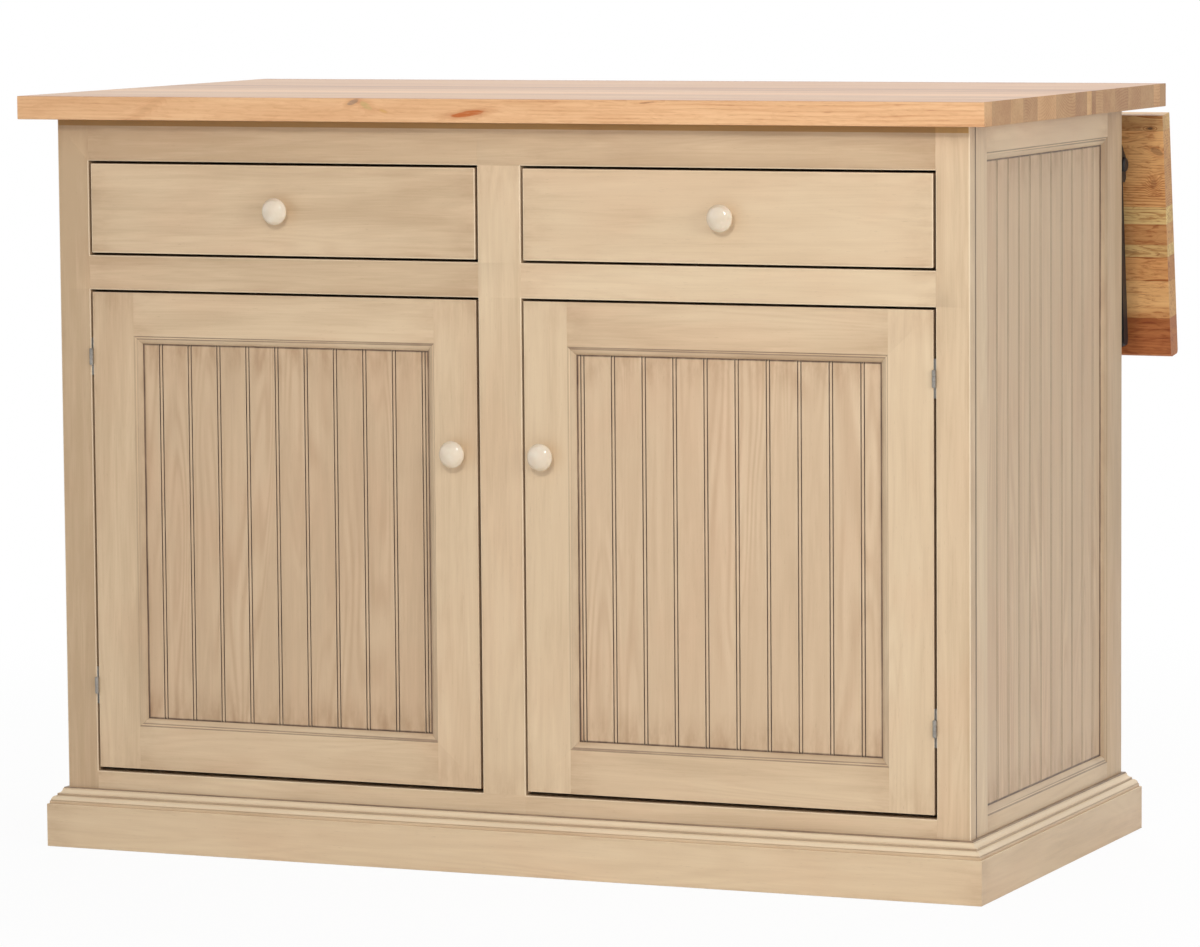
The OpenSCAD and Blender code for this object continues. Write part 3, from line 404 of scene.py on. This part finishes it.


# This finish also paints light: a warm shadow in the band under the worktop and a highlight on the eased edges.
def stained_maple(name, pale, middle, dark, glaze, joint_glaze=0.35, figure_share=0.35,
                  hidden=0.0, veins=0.12, crease_glaze_and_shade=0.0):
    finish = Finish(name, Roughness=0.42, Coat_Roughness=0.3, Coat_Weight=0.12)
    grain = finish.attribute("grain", "Vector")
    across = finish.parts(finish.attribute("place", "Vector"))
    half = finish.parts(finish.attribute("half", "Vector"))
    end_room = half[0] - across[0].math("ABSOLUTE")
    side_room = half[1] - across[1].math("ABSOLUTE")
    broad = finish.noise(finish.stretch(grain, 2.4, 14, 14), 1.0, 3, 0.55, 0.4)
    figure = finish.noise(finish.stretch(grain, 5, 70, 70), 1.0, 4, 0.62, 0.8)
    streak = finish.noise(finish.stretch(grain, 16, 620, 620), 1.0, 2)
    blush = finish.noise(finish.stretch(grain, 5, 9, 9), 1.0, 2, 0.5, 0.6)
    pores = finish.noise(finish.stretch(grain, 90, 1500, 1500), 1.0, 1).between(0.70, 0.80)
    tone = broad * 0.55 + figure * figure_share + streak * 0.13 + finish.attribute("board") * 0.36 - 0.19
    colour = finish.ramp(tone, [(0.28, dark), (0.5, middle), (0.72, pale)])
    colour = finish.mix(blush.between(0.45, 0.7) * 0.55, colour, finish.mix(
        1.0, colour, (1.0, 0.945, 0.93, 1.0), "MULTIPLY"))
    wiped = finish.noise(finish.stretch(grain, 20, 60, 60), 1.0, 4, 0.65)
    near_end = (1.0 - end_room.between(hidden, hidden + 0.05)) * joint_glaze
    near_side = (1.0 - side_room.between(hidden, hidden + 0.008)) * joint_glaze * 0.7
    kept = finish.attribute("glaze")
    in_front = kept.math("GREATER_THAN", bare_back / 2)
    haze = (near_end + near_side) * wiped.between(0.3, 0.75) * in_front
    swell = finish.noise(finish.stretch(grain, 1.9, 20, 20), 1.0, 1, 0.4, 0.5)
    cathedral = 1.0 - ((swell * 13.0).math("FRACT") - 0.5).math("ABSOLUTE").between(0.0, 0.42)
    colour = finish.mix(cathedral * broad.between(0.42, 0.62) * veins, colour,
                        finish.mix(1.0, colour, paint(206, 184, 168), "MULTIPLY"))
    colour = finish.mix(haze, colour, finish.mix(1.0, colour, glaze, "MULTIPLY"))
    edge_room = end_room.math("MINIMUM", side_room)
    # The panel's strip along the crease: glaze, and painted shade of the recess.
    crease = (1.0 - edge_room.between(hidden + 0.0007, hidden + 0.0022)) * crease_glaze_and_shade * in_front
    left = (kept.math("MAXIMUM", 0.0) + crease) * (wiped * 0.9 + 0.5)
    wear_highlight_and_shadow = (kept * -1.0).math("MAXIMUM", 0.0)
    # Eased edges paler: stain worn thin, and a painted highlight.
    colour = finish.mix(wear_highlight_and_shadow.math("PINGPONG", 1.0), colour, paint(246, 228, 198))
    # Painted shadow: the band under the worktop is darkened warm brown, standing in for the overhang's shadow.
    colour = finish.mix(wear_highlight_and_shadow.between(1.5, 2.0) * 0.85, colour,
                        finish.mix(1.0, colour, paint(212, 180, 104), "MULTIPLY"))
    colour = finish.mix(left.math("MINIMUM", 1.0), colour, paint(112, 88, 70))
    colour = finish.mix(left.between(0.75, 1.25) * 0.8, colour, paint(62, 44, 32))
    colour = finish.mix(pores * 0.3, colour, paint(150, 118, 88))
    return finish.wear(Base_Color=colour, Roughness=streak * 0.12 + broad * 0.1 + 0.33,
                       Normal=finish.bump(streak * 0.6 + figure * 0.4, 0.00008, 0.5))


glaze_tint = paint(205, 186, 170)
frame_maple = stained_maple("cream_stained_maple", paint(228, 205, 171), paint(216, 190, 156),
                            paint(193, 165, 131), glaze_tint)
face_nodes = ("face_stile_left", "face_stile_right", "face_stile_center", "face_rail_top",
              "face_rails_middle", "face_rail_bottom")
face_boards = board_boxes(*face_nodes)
joint_heights = [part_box(node)[end].z for node, end in (
    ("face_rail_top", 0), ("face_rails_middle", 1), ("face_rails_middle", 0), ("face_rail_bottom", 1))]
face_cuts = [((0, 0, height), (0, 0, 1)) for height in joint_heights]
face_cuts += [((corner.x, 0, 0), (1, 0, 0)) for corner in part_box("face_stile_center")]
corner_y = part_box("right_side_frame")[0].y
seam_width, seam_glaze = 0.0018, 1.5
face_cuts.append(((0, corner_y - seam_width, 0), (0, 1, 0)))
# The band under the worktop that carries a painted shadow begins this far down.
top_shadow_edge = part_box("worktop")[0].z - 0.0085
face_cuts.append(((0, 0, top_shadow_edge), (0, 0, 1)))
outer_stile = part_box("face_stile_right")[0].x + 0.01
face_tones = {"face_stile_left": [-0.1], "face_stile_center": [0.55], "face_stile_right": [0.4],
              "face_rail_top": [0.15], "face_rails_middle": [0.25, 0.75], "face_rail_bottom": [0.4]}


def face_glaze_and_top_shadow(face):
    """Glaze left along the seam behind the face frame, at the cabinet's corners,
    and a painted shadow in the band under the worktop."""
    if abs(face.normal.x) > 0.2:
        at_corner = abs(face.center.x) > outer_stile and abs(face.center.y - corner_y) < seam_width
        return seam_glaze if at_corner else 0.0
    return painted_shadow_under_top if face.normal.y < -0.3 and face.center.z > top_shadow_edge else 0.0


for node in face_nodes:
    dress_boards(node, "cabinet", frame_maple, 0.0012, glaze=face_glaze_and_top_shadow,
                 joined=face_boards, cuts=face_cuts, tones=face_tones[node])


# The sides and the back: frames of the same maple with a moulded inner edge,
# round panels of beadboard that took the stain a little darker. The glaze
# stays in the fillet of the moulding, in its crease and in the beads' quirks;
# the panel's edge along the crease is darker still, from glaze and painted shade.
panel_maple = stained_maple("stained_beadboard", paint(218, 191, 158), paint(206, 178, 145),
                            paint(190, 162, 130), glaze_tint, 0.6, 0.4, 0.017, 0.3, 1.0)
panel_depth, fillet_depth, crease_height = 0.0065, 0.0013, 0.0012
mitre_glaze, deep_glaze, quirk_glaze = 0.9, 1.0, 0.9
fillet_glaze, round_glaze = {"level": 0.65, "upright": 0.3}, {"level": 0.14, "upright": 0.24}
outer_edge, outer_depth, inner_edge = 0.002, 0.03, 0.003


def frame_glaze(frame_box, axis, outward, edge=0.0):
    """Glaze by the depth behind a frame's face: dark in the crease, the mitres
    and the corner seam, less on the fillet, little on the round, and as much as
    given on the outer edges."""
    low, high = frame_box
    face_plane = frame_box[1 if outward > 0 else 0][axis]
    other = [part for part in range(3) if part != axis]

    def shade(face):
        depth = (face_plane - face.center[axis]) * outward
        slant = face.normal[axis] * outward
        inside = min(min(face.center[part] - low[part], high[part] - face.center[part]) for part in other)
        if axis == 0 and slant > 0.2 and face.center.y < corner_y + seam_width:
            return seam_glaze
        if edge and abs(slant) < 0.5 and depth < outer_depth and inside < outer_edge:
            return edge
        if depth < 0.0001 or depth > panel_depth + 0.0002 or slant > 0.995 or slant < 0.05 or inside < inner_edge:
            return 0.0
        if min(abs(face.normal[part]) for part in other) > 0.1:
            return mitre_glaze
        if depth > panel_depth - crease_height:
            return deep_glaze
        lie = "upright" if abs(face.normal.z) < 0.1 else "level"
        return fillet_glaze[lie] if depth < fillet_depth + 0.0003 else round_glaze[lie]

    return shade


def panel_glaze(piece_box, axis, outward):
    """Glaze in the quirks, on each face that lies behind the panel's face, and
    none at all on the panel's back."""
    face_plane = piece_box[1 if outward > 0 else 0][axis]

    def shade(face):
        depth = (face_plane - face.center[axis]) * outward
        if face.normal[axis] * outward < -0.5:
            return bare_back
        return quirk_glaze if 0.0003 < depth < 0.0025 and face.area < 0.01 else 0.0

    return shade


side_cuts = [((0, corner_y + seam_width, 0), (0, 1, 0))]
side_tones = {"right_side_frame": [0.05, 0.45, 0.5, 0.8]}
for node, panel, axis, outward in (("left_side_frame", "left_side_panel", 0, -1),
                                   ("right_side_frame", "right_side_panel", 0, 1),
                                   ("back_frame", "back_panels", 1, 1)):
    dress_boards(node, "cabinet", frame_maple, glaze=frame_glaze(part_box(node), axis, outward),
                 joined=board_boxes(node), cuts=side_cuts if axis == 0 else (), tones=side_tones.get(node))
    dress_boards(panel, "cabinet", panel_maple, 0.0002, 2,
                 panel_glaze(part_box(panel), axis, outward))


# The inside of the case: a deck, a partition, stretchers, blocks behind the
# slides and two loose shelves, all of birch boards under clear lacquer.
case_birch = stained_maple("lacquered_birch", paint(236, 214, 178), paint(228, 203, 164),
                           paint(214, 186, 145), (1.0, 1.0, 1.0, 1.0))
for node in ("bottom_deck", "center_partition", "shelf_left", "shelf_right", "top_stretchers", "slide_blocks"):
    dress_boards(node, "cabinet", case_birch)


# The base: square plinth boards and a cap moulding, mitred at the corners and
# finished as the frame is, with glaze in the hollows of the moulding.
plinth_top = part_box("plinth_sides")[1].z
cap_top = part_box("cap_molding_sides")[1].z - 0.0008
cap_hollows = ((0.0028, 0.0042), (0.0094, 0.0112))
cap_edge_glaze, hollow_glaze = 0.8, 0.4


def cap_glaze(face):
    """Glaze in the hollows of the moulding, and more along its top edge."""
    if face.center.z > cap_top:
        return cap_edge_glaze
    return hollow_glaze * any(low < face.center.z - plinth_top < high for low, high in cap_hollows)


plinth_nodes = ("plinth_front_and_back", "plinth_sides")
for node in plinth_nodes:
    dress_boards(node, "cabinet", frame_maple, 0.0008, joined=board_boxes(*plinth_nodes))
cap_nodes = ("cap_molding_front_and_back", "cap_molding_sides")
for node in cap_nodes:
    dress_boards(node, "cabinet", frame_maple, 0.0004, glaze=cap_glaze,
                 joined=board_boxes(*cap_nodes))


# The drawers: slab fronts of the frame's maple, with the grain across and
# glaze left on their edges, each on a box of birch boards with a thin bottom.
edge_glaze = 0.5
for side in ("left", "right"):
    dress_boards(side + "_drawer_front", side + "_drawer", frame_maple, 0.0014,
                 glaze=lambda face: edge_glaze * (abs(face.normal.y) < 0.5), tones=[0.35 if side == "left" else 0.6])
    dress_boards(side + "_drawer_box", side + "_drawer", case_birch)
    dress_boards(side + "_drawer_bottom", side + "_drawer", case_birch, 0.0004)


# The doors: maple stiles and rails round a beadboard panel, with the sides'
# moulding, mitred in the corners. Glaze stays on their outer edges, in the gaps.
for side in ("left", "right"):
    stiles, rails = side + "_door_stiles", side + "_door_rails"
    for node in (stiles, rails):
        dress_boards(node, side + "_door", frame_maple,
                     glaze=frame_glaze(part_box(stiles), 1, -1, edge_glaze), joined=board_boxes(stiles, rails))
    dress_boards(side + "_door_panel", side + "_door", panel_maple, 0.0002, 2,
                 panel_glaze(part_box(side + "_door_panel"), 1, -1), tones=[0.35 if side == "left" else 0.7])


# The worktop: staves of oak, glued edge to edge into a block, planed, oiled
# and left in the wood's own colours. The widths run from the front edge back.
def knot(finish, flat, centre, reach, lean=0.0, across=1):
    """The distance from a knot's heart in its own radii, roughened."""
    offset = finish.add("ShaderNodeVectorMath", {"operation": "SUBTRACT"}, {0: flat, 1: centre})
    total = 0.0
    for axis in range(3):
        line = [0.0, 0.0, 0.0]
        line[axis] = math.cos(lean) if axis in (0, across) else 1.0
        if axis in (0, across):
            line[across if axis == 0 else 0] = math.sin(lean) * (1 if axis == 0 else -1)
        line = [part / reach[axis] for part in line]
        own = finish.add("ShaderNodeVectorMath", {"operation": "DOT_PRODUCT"}, {0: offset, 1: line}, "Value")
        total = own * own + total
    rough = finish.noise(finish.stretch(flat, 60, 190, 190), 1.0, 3, 0.6)
    return total.math("SQRT") + (rough - 0.5) * 0.7


def oiled_oak(name, stave_colours, knots, ring=0.0036, contrast=0.5, lively=(-2.0, -1.0), fleck=0.2,
              ring_tint=paint(226, 196, 172), fleck_tint=paint(206, 166, 130)):
    finish = Finish(name, Coat_Roughness=0.4, Coat_Weight=0.25)
    grain = finish.attribute("grain", "Vector")
    flat = finish.attribute("flat", "Vector")
    end = finish.attribute("end")
    along, across, deep = finish.parts(grain)
    warp = finish.noise(finish.stretch(grain, 3.2, 16, 16), 1.0, 3, 0.5) - 0.5
    radius = (across * across + deep * deep).math("SQRT") + warp * 0.012
    hearts = []
    for centre, reach, lean, axis, colour, share in knots:
        far = knot(finish, flat, centre, reach, lean, axis)
        radius = radius + (1.0 - far.between(0.4, 3.0)) * 0.007
        hearts.append((far, colour, share))
    phase = (radius / ring).math("FRACT")
    early = 1.0 - phase.between(0.0, 0.6)
    fibre = finish.noise(finish.stretch(grain, 9, 420, 420), 1.0, 3, 0.6)
    pores = finish.noise(finish.stretch(grain, 60, 1200, 1200), 1.0, 1).between(0.58, 0.72) * (early * 0.75 + 0.2)
    broad = finish.noise(finish.stretch(grain, 4, 28, 28), 1.0, 3, 0.55)
    colour = finish.ramp(finish.attribute("board"), stave_colours)
    reach = finish.parts(flat)[0].between(*lively) * 0.75 + 0.25
    lines = early * contrast * (broad.between(0.3, 0.65) * 0.9 + 0.1) * reach
    colour = finish.mix(lines, colour, finish.mix(1.0, colour, ring_tint, "MULTIPLY"))
    colour = finish.mix(broad.between(0.35, 0.7) * 0.5, colour,
                        finish.mix(1.0, colour, paint(232, 218, 205), "MULTIPLY"))
    colour = finish.mix(fibre.between(0.3, 0.7) * 0.35, colour,
                        finish.mix(1.0, colour, paint(228, 210, 196), "MULTIPLY"))
    colour = finish.mix(pores * 0.5 * reach, colour, finish.mix(1.0, colour, paint(186, 140, 106), "MULTIPLY"))
    curl = finish.noise(finish.stretch(grain, 34, 210, 210), 1.0, 3, 0.65, 1.4)
    colour = finish.mix(curl.between(0.45, 0.7) * fleck, colour,
                        finish.mix(1.0, colour, fleck_tint, "MULTIPLY"))
    place = finish.parts(finish.attribute("place", "Vector"))
    half = finish.parts(finish.attribute("half", "Vector"))
    glue = 1.0 - (half[1] - place[1].math("ABSOLUTE")).between(0.0001, 0.0007)
    colour = finish.mix(glue * 0.4, colour, finish.mix(1.0, colour, paint(176, 138, 110), "MULTIPLY"))
    for far, knot_colour, share in hearts:
        colour = finish.mix((1.0 - far.between(0.9, 2.2)) * share * 0.45, colour,
                            finish.mix(1.0, colour, paint(214, 178, 150), "MULTIPLY"))
        colour = finish.mix((1.0 - far.between(0.7, 1.05)) * share * (curl.between(0.35, 0.6) * 0.5 + 0.5),
                            colour, knot_colour)
    colour = finish.mix(end, colour, finish.mix(1.0, colour, paint(240, 238, 224), "MULTIPLY"))
    return finish.wear(Base_Color=colour, Roughness=fibre * 0.14 + 0.3 + end * 0.15,
                       Normal=finish.bump(fibre * 0.3 + pores * -0.7, 0.0002, 0.4))


def glue_block(node, body, finish, origin, turn, widths, tones):
    """A CAD slab cut into staves of the given widths across its flat."""
    def lie(point):
        from_origin = Vector(point) - origin
        return (from_origin.x, from_origin.y * math.cos(turn) - from_origin.z * math.sin(turn),
                from_origin.y * math.sin(turn) + from_origin.z * math.cos(turn))

    across = Vector((0, math.cos(turn), -math.sin(turn)))
    joints = [sum(widths[:count]) for count in range(1, len(widths))]
    piece = copy_solid(node, "_staves", 0.0008, 2, [(origin + joint * across, across) for joint in joints])
    mesh = piece.data
    boards = [[] for width in widths]
    for face in mesh.polygons:
        reach = lie(face.center)[1]
        boards[sum(reach > joint for joint in joints)].append(face.index)
    lay_grain(piece, boards, lie, 0, tones)
    end = mesh.attributes.new("end", "FLOAT", "CORNER")
    for face in mesh.polygons:
        for corner in face.loop_indices:
            end.data[corner].value = 1.0 if abs(face.normal.x) > 0.7 else 0.0
    return put_on(piece, finish, body, node)


top_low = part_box("worktop")[0]
top_widths = [0.026, 0.063, 0.045, 0.049, 0.068, 0.070, 0.042, 0.017, 0.016, 0.027,
              0.046, 0.050, 0.048, 0.052, 0.026, 0.023]
top_tones = [0.81, 0.42, 0.55, 0.35, 0.72, 0.5, 0.2, 0.9, 0.15, 0.45, 0.38, 0.3, 0.42, 0.36, 0.75, 0.3]
top_knots = [
    ((-0.167, 0.0, 0.0235), (0.0080, 0.02, 0.0030), 0.35, 2, paint(150, 124, 104), 0.7),
    ((-0.150, 0.0, 0.0190), (0.0100, 0.02, 0.0038), -0.5, 2, paint(194, 168, 106), 0.6),
    ((-0.128, 0.0, 0.0130), (0.0060, 0.02, 0.0016), -0.3, 2, paint(214, 166, 84), 0.6),
    ((-0.020, 0.0, 0.0105), (0.0230, 0.02, 0.0036), 0.14, 2, paint(186, 98, 36), 1.0),
    ((-0.435, 0.0, 0.0170), (0.0240, 0.02, 0.0040), 0.55, 2, paint(206, 158, 112), 0.4),
    ((0.206, 0.0, 0.0250), (0.0110, 0.02, 0.0009), 0.1, 2, paint(160, 112, 74), 0.7)]
top_oak = oiled_oak("butcher_block_oak", [
    (0.0, paint(176, 126, 84)), (0.3, paint(205, 162, 120)), (0.6, paint(222, 180, 134)),
    (0.85, paint(240, 193, 145)), (1.0, paint(236, 206, 152))], top_knots, contrast=0.75, lively=(-0.1, 0.3))
glue_block("worktop", "cabinet", top_oak, Vector((0, top_low.y, top_low.z)), 0.0,
           top_widths, top_tones)


# The drop leaf: a second block, of darker and redder staves than the top.
# Its staves are given from the hinge edge to the free edge.
hinge_turn = math.radians(83)
leaf_axis = Vector((0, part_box("leaf_hinge_pins")[0].y + 0.002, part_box("leaf_hinge_pins")[0].z + 0.002))
leaf_across = Vector((0, math.cos(hinge_turn), -math.sin(hinge_turn)))
leaf_edge = 0.014
leaf_widths = [0.019, 0.095, 0.021, 0.026, 0.015, 0.030, 0.0465, 0.0225, 0.026]
leaf_tones = [0.80, 0.43, 1.0, 0.38, 0.96, 0.31, 0.48, 0.10, 0.04]
leaf_knots = [
    ((0.598, 0.0160, -0.003), (0.0045, 0.0015, 0.01), 0.0, 1, paint(38, 26, 20), 1.0),
    ((0.560, 0.0270, -0.003), (0.012, 0.0022, 0.01), 0.1, 1, paint(120, 76, 44), 0.6),
    ((0.606, 0.0450, -0.003), (0.009, 0.0045, 0.01), 0.4, 1, paint(96, 60, 38), 0.75),
    ((0.600, 0.0850, -0.003), (0.004, 0.0070, 0.01), 0.2, 1, paint(140, 84, 46), 0.6),
    ((0.568, 0.1700, -0.003), (0.016, 0.0020, 0.01), 0.1, 1, paint(132, 82, 48), 0.5)]
leaf_oak = oiled_oak("drop_leaf_oak", [
    (0.0, paint(200, 127, 75)), (0.12, paint(206, 138, 83)), (0.32, paint(228, 174, 113)),
    (0.5, paint(234, 186, 125)), (0.75, paint(239, 203, 145)), (0.9, paint(244, 212, 147)),
    (1.0, paint(253, 230, 162))], leaf_knots, 0.0032, 0.95, fleck=0.7,
    ring_tint=paint(196, 152, 112), fleck_tint=paint(190, 140, 98))
glue_block("drop_leaf", "leaf", leaf_oak, leaf_axis + leaf_edge * leaf_across, hinge_turn,
           leaf_widths, leaf_tones)


# The knobs: turned stoneware with a thick ivory glaze, on a screw from inside.
# Each has a short neck, a hollow under its rounded rim, and a low crown.
def turned(name, place, rings, sides=56):
    """A solid of revolution that points to -Y: its rings are (radius, reach)."""
    bpy.ops.object.select_all(action="DESELECT")
    bpy.ops.mesh.primitive_circle_add(vertices=sides, radius=rings[0][0], fill_type="NGON",
                                      location=(0, 0, 0), rotation=(math.pi / 2, 0, 0))
    piece = bpy.context.object
    piece.name = name
    bpy.ops.object.transform_apply(location=True, rotation=True, scale=True)
    bpy.ops.object.mode_set(mode="EDIT")
    bpy.ops.mesh.select_all(action="SELECT")
    for (radius, reach), (next_radius, next_reach) in zip(rings, rings[1:]):
        bpy.ops.mesh.extrude_region_move(TRANSFORM_OT_translate={"value": (0, reach - next_reach, 0)})
        share = next_radius / radius
        bpy.ops.transform.resize(value=(share, 1, share), center_override=(0, -next_reach, 0))
    bpy.ops.mesh.select_all(action="SELECT")
    bpy.ops.mesh.remove_doubles(threshold=0.000001)
    bpy.ops.mesh.normals_make_consistent(inside=False)
    bpy.ops.object.mode_set(mode="OBJECT")
    for vertex in piece.data.vertices:
        vertex.co += Vector(place)
    bpy.ops.object.shade_smooth_by_angle(angle=math.radians(40))
    return piece


def arc(centre, radius, start, stop, steps):
    """Points of a profile along an arc, in (radius, reach), from angle to angle."""
    angles = [math.radians(start + (stop - start) * step / steps) for step in range(steps + 1)]
    return [(centre[0] + radius * math.cos(a), centre[1] + radius * math.sin(a)) for a in angles]


crown_angle = 33.5
knob_rings = ([(0.0085, 0.0), (0.0085, 0.0016)] + arc((0.0073, 0.0018), 0.0012, 0, 90, 4)
              + arc((0.0113, 0.0075), 0.0052, 240, 120, 10)
              + arc((0.0128, 0.0163), 0.0032, -50, 60, 10)
              + arc((0.0, 0.0010), 0.0240, 90 - crown_angle, 89.3, 14))
glazed = Finish("ivory_glaze", Coat_Weight=1.0, Coat_IOR=1.8, Coat_Roughness=0.04,
                Subsurface_Weight=0.08, Subsurface_Scale=0.003)
glaze_place = glazed.add("ShaderNodeTexCoord", {}, {}, "Object")
glaze_cloud = glazed.noise(glaze_place, 60.0, 2, 0.5)
glaze_speck = glazed.noise(glaze_place, 900.0, 2, 0.5)
ivory_glaze = glazed.wear(
    Base_Color=glazed.mix(glaze_speck.between(0.68, 0.76) * 0.25, glazed.ramp(glaze_cloud, [
        (0.25, paint(218, 199, 172)), (0.55, paint(227, 210, 185)), (0.85, paint(233, 219, 198))]),
        paint(196, 170, 134)),
    Roughness=glaze_cloud * 0.1 + 0.12,
    Normal=glazed.bump(glaze_cloud, 0.0002, 0.3))
for node, body in (("left_drawer_knob", "left_drawer"), ("right_drawer_knob", "right_drawer"),
                   ("left_door_knob", "left_door"), ("right_door_knob", "right_door")):
    low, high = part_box(node)
    knob = turned(node + "_ceramic", ((low.x + high.x) / 2, high.y, (low.z + high.z) / 2), knob_rings)
    put_on(knob, ivory_glaze, body, node)


# The steel: bright plated hinges, slides and pins, rolled or pressed from
# sheet, with the fine lines of rolling and a little dulling.
def plated_steel(name, bright, dull, roughness=0.3):
    finish = Finish(name, Metallic=1.0)
    place = finish.add("ShaderNodeTexCoord", {}, {}, "Object")
    rolled = finish.noise(finish.stretch(place, 900, 30, 900), 1.0, 2)
    cloud = finish.noise(place, 45.0, 4, 0.6)
    colour = finish.ramp(cloud * 0.7 + rolled * 0.3, [(0.3, dull), (0.7, bright)])
    return finish.wear(Base_Color=colour, Roughness=cloud * 0.25 + roughness,
                       Normal=finish.bump(rolled, 0.00004, 0.4))


def dress_metal(node, body, finish, ease=0.0003):
    piece = copy_solid(node, "_metal", ease)
    return put_on(piece, finish, body, node)


nickel = plated_steel("satin_nickel", paint(186, 182, 175), paint(146, 141, 134), 0.34)
zinc = plated_steel("bright_zinc", paint(200, 204, 210), paint(160, 164, 170), 0.25)
for node, body in (("door_hinge_frame_leaves", "cabinet"), ("door_hinge_pins", "cabinet"),
                   ("left_door_hinge_leaves", "left_door"), ("right_door_hinge_leaves", "right_door"),
                   ("shelf_pins", "cabinet")):
    dress_metal(node, body, nickel, 0.0002)
for node, body in (("slide_case_members", "cabinet"), ("left_slide_middles", "left_slide"),
                   ("right_slide_middles", "right_slide"), ("left_drawer_slide_members", "left_drawer"),
                   ("right_drawer_slide_members", "right_drawer")):
    dress_metal(node, body, zinc, 0.0002)
for node, body in (("leaf_hinge_top_flaps", "cabinet"), ("leaf_hinge_pins", "cabinet"),
                   ("leaf_hinge_drop_flaps", "leaf")):
    dress_metal(node, body, zinc)


# The folding supports: steel pressings under a black powder coat, their pivots too.
def powder_coat(name, base, worn):
    finish = Finish(name)
    place = finish.add("ShaderNodeTexCoord", {}, {}, "Object")
    pebble = finish.noise(place, 1400.0, 2)
    cloud = finish.noise(place, 60.0, 3)
    colour = finish.mix(cloud.between(0.45, 0.8) * 0.5, base, worn)
    return finish.wear(Base_Color=colour, Roughness=cloud * 0.15 + 0.38,
                       Normal=finish.bump(pebble, 0.00006, 0.5))


black_coat = powder_coat("black_powder_coat", paint(32, 32, 34), paint(48, 48, 51))
for node, body in (("support_plates", "cabinet"), ("support_pivots", "cabinet"), ("support_arms", "leaf"),
                   ("left_brace", "left_brace"), ("right_brace", "right_brace")):
    dress_metal(node, body, black_coat, 0.0004)
for node, body in (("cabinet_screws", "cabinet"), ("leaf_screws", "leaf")):
    dress_metal(node, body, black_coat, 0.0005)
